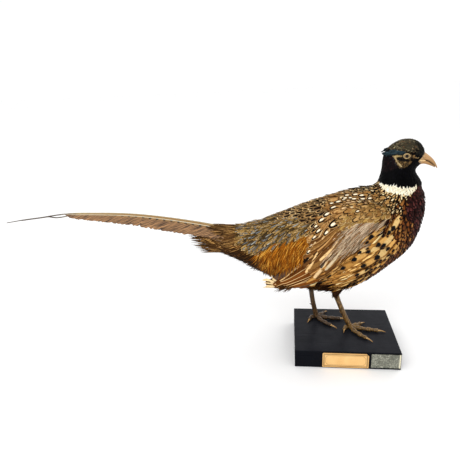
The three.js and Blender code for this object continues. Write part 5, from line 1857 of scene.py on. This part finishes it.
def beside(side, line, height):
    """Points on the skin's flank under a side-view line, at a height, and the way out there."""
    way = -1.0 if side == "right" else 1.0
    spots_here, outs = [], []
    for x, z in line:
        hit, _, face, _ = surface.ray_cast(Vector((x, way * 150, z)), Vector((0, -way, 0)))
        if hit is None or abs(hit.y) < 12:
            spots_here.append((x, np.nan, z))
            outs.append(outs[-1] if outs else np.array([0, way, 0]))
            continue
        spots_here.append(tuple(hit))
        outs.append(unit(face_normals[face] * (1, 1, 0.35) + (0, 0.6 * way, 0)))
    spots_here, outs = np.array(spots_here), np.array(outs)
    known = ~np.isnan(spots_here[:, 1])
    steps = np.arange(len(line))
    if known.sum() > 1:
        slope = np.polyfit(steps[known][-5:], spots_here[known, 1][-5:], 1)
        guess = np.polyval(slope, steps)
        spots_here[~known, 1] = guess[~known]
    spots_here[:, 1] = np.convolve(np.pad(spots_here[:, 1], 2, mode="edge"), np.ones(5) / 5, "valid")
    outs = unit(np.stack([np.convolve(np.pad(outs[:, k], 3, mode="edge"), np.ones(7) / 7, "valid")
                          for k in range(3)], 1))
    return spots_here + outs * np.asarray(height)[:, None], outs


print("points on one long feather:", len(LONG.t) * len(LONG.s))

# %% [markdown]
# A long feather is bent a little in the side view, laid on the flank, and given a stiff shaft. A
# broad one rounds off over its last tenth, and a narrow one over about its own width.

# %% Build one long feather
def long_feather(side, root, tip, bend, half, low, high, lance, colours, at):
    rows = len(LONG.t)
    start = 0.4 if half < 4 else 0.45
    root, tip = np.array(root, float), np.array(tip, float)
    middle = (root + tip) / 2 + bend * np.array([-(tip - root)[1], (tip - root)[0]]) / np.linalg.norm(tip - root)
    t = LONG.t[:, None]
    line = (1 - t) ** 2 * root + 2 * t * (1 - t) * (2 * middle - (root + tip) / 2) + t ** 2 * tip
    path, out = beside(side, line, low + (high - low) * LONG.t)
    way = unit(np.gradient(path, axis=0))
    aside = unit(np.cross(out, way))
    length = np.linalg.norm(np.diff(path, axis=0), axis=1).sum()
    blunt = 2.2 * half / length if half < 4 else 0.1
    round_tip = np.sqrt(np.clip(1 - (np.clip(LONG.t - 1 + blunt, 0, 1) / blunt) ** 2, 0, 1))
    widens = np.clip(start + LONG.t * (1.0 if half < 4 else 2.0), 0, 1)
    width = half * widens * (1 - lance * LONG.t ** 2) * np.maximum(round_tip, 0.10)
    nick = 1 + 0.05 * chance.normal(size=(rows, 10)).clip(-2, 2) * (abs(LONG.s) > 0.8)
    across = LONG.s[None] * width[:, None] * nick
    rise = -0.10 * LONG.s[None] ** 2 * width[:, None] + 0.22 * np.exp(-(LONG.s[None] / 0.12) ** 2)
    points = path[:, None] + aside[:, None] * across[..., None] + out[:, None] * rise[..., None]
    vane = np.stack(np.broadcast_arrays(LONG.s[None] + 0 * across, LONG.t[:, None] + 0 * across, LONG.edge), -1)
    barbs = np.stack([0.3 * (LONG.t[:, None] * length + 0 * across),
                      1.1 * (LONG.t[:, None] * length - 0.9 * abs(across)), 0 * across + chance.random() * 50], -1)
    heart, band, rim = (np.tile(shaded(choose([c], 1), 0.08), (rows * 10, 1)) for c in colours)
    numbers = {"vane": vane.reshape(-1, 3), "barbs": barbs.reshape(-1, 3),
               "bands": np.tile((*at, EVERYWHERE), (rows * 10, 1)),
               "mark_place": np.tile(NO_MARK[1:], (rows * 10, 1)), "heart": heart, "band": band, "rim": rim,
               "mark": np.tile(linear(NO_MARK[0]), (rows * 10, 1))}
    return LONG, path[:1], points.reshape(-1, 3), LONG.faces, numbers


print("shaft stands up by 0.22 mm")

# %% [markdown]
# The plan of the wing lists each feather from its root to its tip in the side view. The primaries lie
# lowest and end in frayed, bleached tips. The broad brown webs lie over them, and pale edges and fine
# streaks finish both.

# %% Plan of the wing
BROWN = (("#855c30", "#6b451e", "#b48c58"), ("#96703f", "#7a532a", "#c09a66"), ("#75502a", "#5e3c1a", "#a57e4c"))
PRIMARY = (("#7f4c19", "#663a10", "#a06925"), ("#8c5622", "#714316", "#af7736"), ("#6e4113", "#57310d", "#915f26"))
CREAM = ("#e9c894", "#d9b27c", "#c79c66")
PALE_EDGE = ("#eccb98", "#dcb57e", "#c79a62")
BLEACHED = ("#f2ddb4", "#e8cc9c", "#d9b684")
TAN, BUFF = ("#c9a06a", "#b38650", "#94683a"), ("#c79a62", "#a97b46", "#8a6036")
UMBER = ("#5a3a1e", "#4a2c14", "#3a2210")
# Each broad web: root, tip, half width, height at root and tip.
WEBS = [((18, 200), (-36, 158), 6.5, 0.9, 1.6), ((10, 206), (-44, 152), 6.5, 1.0, 1.8),
        ((4, 212), (-53, 151), 7, 1.1, 1.9), ((-2, 216), (-60, 157), 7, 1.2, 2.0),
        ((-6, 222), (-67, 163), 7, 1.3, 2.1), ((-10, 226), (-71, 172), 7, 1.4, 2.2),
        ((-14, 231), (-71, 184), 7, 1.6, 2.3), ((-18, 235), (-66, 196), 6.5, 1.8, 2.4),
        ((-26, 236), (-60, 206), 6, 2, 2.5)]
# The pale outer edges that end in round tips, and finer streaks between them.
STREAKS = [((-47, 204), (-67.5, 160), 2.4, CREAM),
           ((-28, 198), (-54.5, 151), 3.0, ("#e2c59a", "#d3b07e", "#b98f5f")),
           ((-20, 216), (-46, 184), 2.3, CREAM),
           ((-10, 210), (-37.5, 167.5), 2.5, ("#cdbb9c", "#bda786", "#a88f6c")),
           ((-27, 241), (-43, 217.5), 1.7, ("#dcbb8a", "#c69c68", "#7d5630")),
           ((-41, 230), (-56.5, 204.5), 2.2, ("#e8cb9a", "#3a2614", "#c0915a")),
           ((-36, 188), (-44.5, 171), 2.0, ("#5f594e", "#4a4238", "#3a3128")),
           ((-34, 220), (-62, 186), 1.0, ("#d2aa74", "#b98f5c", "#a37642")), ((-22, 230), (-50, 199), 1.2, TAN),
           ((-42, 200), (-66, 172), 0.9, BUFF), ((-4, 204), (-31, 160), 1.0, TAN),
           ((-36, 181), (-60, 157), 1.0, BUFF), ((-30, 226), (-56, 192), 0.9, ("#4a2c14", "#5a3a1e", "#3a2210")),
           ((-38, 208), (-62, 176), 0.8, UMBER), ((-20, 206), (-44, 176), 0.8, UMBER)]
PRIMARIES = [((-28, 150), (-98, 118.6), 3.8, 0), ((-34, 156), (-112, 118.5), 3.9, 1),
             ((-38, 162), (-118, 121), 3.9, 2), ((-44, 168), (-120, 124), 3.9, 0),
             ((-50, 174), (-121, 127), 3.9, 1), ((-56, 181), (-119, 130), 3.9, 2)]
EDGES = [((-60, 196), (-119.5, 126.5), 1.25), ((-62, 190), (-88, 160), 0.9), ((-30, 149.5), (-96, 118), 1.4),
         ((-40, 158), (-112, 119.5), 0.55), ((-46, 163), (-115, 121.5), 0.7), ((-52, 169), (-117, 124), 0.6),
         ((-58, 176), (-119, 128), 0.7), ((-48, 159), (-100, 124), 0.5)]
print("webs, streaks, primaries, edges:", *map(len, (WEBS, STREAKS, PRIMARIES, EDGES)))

# %% [markdown]
# Both wings are stacked in the same order, from the dark feather behind to the loose barbs in front.

# %% Stack the wings
for side in ("right", "left"):
    stack = [long_feather(side, (-53, 222), (-70, 176), 1.0, 3.9, 2.6, 3.4, 0.2, ("#1a0f06",) * 3, (0.4, 0.2))]
    for n, (root, tip, half, colour) in enumerate(PRIMARIES):
        stack.append(long_feather(side, root, tip, 2.0, half * 1.15, 0.6, 1.0 + 0.2 * n, 0.3, PRIMARY[colour],
                                  (0.45, 0.14)))
    for root, tip, half in EDGES:
        stack.append(long_feather(side, root, tip, 2.0, half, 1.2, 2.3, 0.3, PALE_EDGE, (0.5, 0.2)))
    for n, (root, tip, half, low, high) in enumerate(WEBS):
        stack.append(long_feather(side, root, tip, 3.5, half, low + 0.7, high + 0.9, 0.1, BROWN[n % 3],
                                  (0.5, 0.16)))
    for root, tip, half, colours in STREAKS:
        stack.append(long_feather(side, root, tip, 1.2, half, 2.9, 3.9, -0.1, colours, (0.35, 0.12)))
    for n in range(9):  # the frayed, bleached tips of the outer primaries
        end = (-122 - 18 * chance.random(), 117 + 25 * n / 8 + chance.normal())
        stack.append(long_feather(side, (-112, 122 + 1.5 * n), end, chance.normal(0, 1.5),
                                  chance.uniform(1.4, 3.2), 0.6,
                                  1.9, 0.4, BLEACHED, (0.5, 0.2)))
    # Loose pale barbs of the grey coverts hang over the front of the long feathers.
    count, cut, way = 100, CUTS["lock"], -1 if side == "right" else 1
    down = chance.random(count) ** 0.8
    spread = chance.random(count)
    top_x = (-10 + 32 * spread) * (1 - down) + (-36 + 36 * spread) * down
    top_z = (232 + 4 * spread) * (1 - down) + (192 + 6 * spread) * down
    root = np.array([from_side(way, x, z) for x, z in zip(top_x, top_z)])
    aim = unit(np.array([-0.62, 0, -0.78]) + 0.12 * chance.normal(size=(count, 3)))
    points, faces, vane, barbs = lay(cut, root, aim, chance.uniform(12, 28, count),
                                     chance.uniform(0.35, 0.9, count), 0.85, np.full(count, 2.6),
                                     np.full(count, 3.6), chance.uniform(0, 0.8, count))
    stack.append((cut, root, points, faces, markings(cut, vane, barbs, PLUMAGE["grey_covert"])))
    coat_piece("flight_feathers_" + side, stack, soft_keratin)
print("long feathers drawn on each wing:", len(stack))

# %% [markdown]
# ## The block
#
# The block is a plain wooden plinth in black paint, brushed on by hand a long time ago. Paint of
# that age has a satin skin with a fine grain from the brush, a haze of dust in it, and a few pale specks.
# Its top is painted lighter than its sides: partly dust, partly a painted sheen.

# %% Painted block
paint, tree, shader = blank_material("old_black_paint_on_wood", Roughness=0.5, IOR=1.5, Specular_IOR_Level=0.06)
where = put(tree, "TexCoord")
brushed = put(tree, "Mapping", {"Vector": where.outputs["Object"], "Scale": (14, 420, 420)})
strokes = put(tree, "TexNoise", {"Vector": brushed, "Scale": 1.0, "Detail": 4.0})
dust = put(tree, "TexNoise", {"Vector": where.outputs["Object"], "Scale": 40.0, "Detail": 8.0, "Roughness": 0.7})
specks = put(tree, "TexNoise", {"Vector": where.outputs["Object"], "Scale": 700.0, "Detail": 2.0})
dust_on = put(tree, "MapRange", {"Value": dust, 1: 0.42, 2: 0.75, 3: 0.0, 4: 0.6})
speck_on = put(tree, "MapRange", {"Value": specks, 1: 0.68, 2: 0.74, 3: 0.0, 4: 0.4})
facing = put(tree, "SeparateXYZ", {"Vector": where.outputs["Normal"]})
# The top is painted lighter than the sides: partly dust, partly a painted sheen.
top_dust_and_sheen = put(tree, "MapRange", {"Value": facing.outputs["Z"], 1: 0.5, 2: 0.9})
clean = put(tree, "Mix", {0: top_dust_and_sheen, 6: linear("#06080f"), 7: linear("#1b1c21")}, **COLOURS)
hazy = put(tree, "Mix", {0: top_dust_and_sheen, 6: linear("#0d1018"), 7: linear("#2d2e33")}, **COLOURS)
colour = put(tree, "Mix", {0: dust_on, 6: clean, 7: hazy}, **COLOURS)
colour = put(tree, "Mix", {0: speck_on, 6: colour, 7: linear("#3b3a38")}, **COLOURS)
satin = put(tree, "MapRange", {"Value": strokes, 1: 0.3, 2: 0.7, 3: 0.26, 4: 0.42})
relief = put(tree, "Bump", {"Height": strokes, "Distance": 0.0003, "Strength": 0.4})
feed(tree, colour, shader.inputs["Base Color"])
feed(tree, satin, shader.inputs["Roughness"])
feed(tree, relief, shader.inputs["Normal"])
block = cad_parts["base_block"]
block.data.materials.clear()
block.data.materials.append(paint)

# %% [markdown]
# ## The two papers
#
# An old specimen block carries a paper label with a ruled border, and a scrap of marbled paper.
# The label is left blank here. Old rag paper yellows from its edges, and its ruled lines are
# printed in brown ink, 0.5 mm wide. Marbled paper is made by floating pigment on a bath and
# combing it, which gives veins round pale stones.

# %% Label paper
rag, tree, shader = blank_material("yellowed_rag_paper", Roughness=0.8, IOR=1.47, Specular_IOR_Level=0.2)
where = put(tree, "TexCoord")
inch = put(tree, "Mapping", {"Vector": where.outputs["Object"], "Scale": (1000, 1000, 1000)})
xyz = put(tree, "SeparateXYZ", {"Vector": inch})
gaps = []
for axis, middle, half in (("X", -3.0, 37.0), ("Z", 15.7, 13.5)):
    off = put(tree, "Math", {0: xyz.outputs[axis], 1: middle}, operation="SUBTRACT")
    off = put(tree, "Math", {0: off}, operation="ABSOLUTE")
    gaps.append(put(tree, "Math", {0: half, 1: off}, operation="SUBTRACT"))
rim_gap = put(tree, "Math", {0: gaps[0], 1: gaps[1]}, operation="MINIMUM")
fibres = put(tree, "TexNoise", {"Vector": where.outputs["Object"], "Scale": 900.0, "Detail": 4.0})
stains = put(tree, "TexNoise", {"Vector": where.outputs["Object"], "Scale": 60.0, "Detail": 4.0})
faded = put(tree, "MapRange", {"Value": stains, 1: 0.35, 2: 0.7, 3: 0.0, 4: 0.6})
colour = put(tree, "Mix", {0: faded, 6: linear("#f3c684"), 7: linear("#e2b06c")}, **COLOURS)
browned = put(tree, "MapRange", {"Value": rim_gap, 1: 0.0, 2: 1.8, 3: 0.45, 4: 0.0})
colour = put(tree, "Mix", {0: browned, 6: colour, 7: linear("#a9783f")}, **COLOURS)
for line_at, wide, strong in ((2.2, 0.5, 0.95), (3.5, 0.2, 0.8)):
    off = put(tree, "Math", {0: rim_gap, 1: line_at}, operation="SUBTRACT")
    off = put(tree, "Math", {0: off}, operation="ABSOLUTE")
    ink = put(tree, "MapRange", {"Value": off, 1: wide * 0.7, 2: wide * 1.3, 3: strong, 4: 0.0})
    colour = put(tree, "Mix", {0: ink, 6: colour, 7: linear("#5f4020")}, **COLOURS)
slant = put(tree, "Math", {0: gaps[0], 1: gaps[1]}, operation="ADD")
slant = put(tree, "Math", {0: slant, 1: 0.7, 2: -4.5}, operation="MULTIPLY_ADD")
cut_rim = put(tree, "Math", {0: rim_gap, 1: slant}, operation="MINIMUM")
off = put(tree, "Math", {0: cut_rim, 1: 4.9}, operation="SUBTRACT")
off = put(tree, "Math", {0: off}, operation="ABSOLUTE")
ink = put(tree, "MapRange", {"Value": off, 1: 0.12, 2: 0.32, 3: 0.8, 4: 0.0})
colour = put(tree, "Mix", {0: ink, 6: colour, 7: linear("#6b4a26")}, **COLOURS)
light = put(tree, "MapRange", {"Value": fibres, 1: 0.3, 2: 0.7, 3: 0.95, 4: 1.04})
colour = put(tree, "Mix", {0: 1.0, 6: colour, 7: light}, **TIMES)
relief = put(tree, "Bump", {"Height": fibres, "Distance": 0.0001, "Strength": 0.5})
feed(tree, colour, shader.inputs["Base Color"])
feed(tree, relief, shader.inputs["Normal"])
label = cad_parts["label_paper"]
label.data.materials.clear()
label.data.materials.append(rag)

print("label dressed")

# %% [markdown]
# The scrap beside the label is marbled: pale stones of pigment with darker veins between them. A
# cell pattern bent by noise gives both. The right end of the scrap is left pale.

# %% Marbled paper
marbling, tree, shader = blank_material("marbled_paper", Roughness=0.6, IOR=1.47, Specular_IOR_Level=0.3)
where = put(tree, "TexCoord")
inch = put(tree, "Mapping", {"Vector": where.outputs["Object"], "Scale": (1000, 1000, 1000)})
xyz = put(tree, "SeparateXYZ", {"Vector": inch})
swirl = put(tree, "TexNoise", {"Vector": inch, "Scale": 0.16, "Detail": 3.0})
bent = put(tree, "VectorMath", {0: swirl.outputs["Color"], 1: (9, 9, 9)}, operation="MULTIPLY")
moved = put(tree, "VectorMath", {0: inch, 1: bent}, operation="ADD")
stones = put(tree, "TexVoronoi", {"Vector": moved, "Scale": 0.3}, feature="DISTANCE_TO_EDGE")
each_stone = put(tree, "TexVoronoi", {"Vector": moved, "Scale": 0.3})
tints = put(tree, "SeparateXYZ", {"Vector": each_stone.outputs["Color"]})
shade = put(tree, "Mix", {0: tints.outputs["X"], 6: linear("#6c6d60"), 7: linear("#a5a596")}, **COLOURS)
veins = put(tree, "MapRange", {"Value": stones, 1: 0.02, 2: 0.16, 3: 0.9, 4: 0.0})
colour = put(tree, "Mix", {0: veins, 6: shade, 7: linear("#55574c")}, **COLOURS)
pale = put(tree, "MapRange", {"Value": xyz.outputs["X"], 1: 81.2, 2: 82.2})
colour = put(tree, "Mix", {0: pale, 6: colour, 7: linear("#e1dabe")}, **COLOURS)
feed(tree, colour, shader.inputs["Base Color"])
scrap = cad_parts["marbled_paper"]
scrap.data.materials.clear()
scrap.data.materials.append(marbling)
print("scrap dressed")

# %% [markdown]
# ## Measure
#
# The dressed bird stands for the solids, so its box and theirs are printed side by side. The
# dressed bird has to stay as large as the solids it stands for.

# %% Print the two boxes
bpy.context.view_layer.update()
dressed_box = [list(map(float, corner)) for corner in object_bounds()]
print("solids", [[round(v * 1000, 1) for v in c] for c in solid_box])
print("dressed", [[round(v * 1000, 1) for v in c] for c in dressed_box])
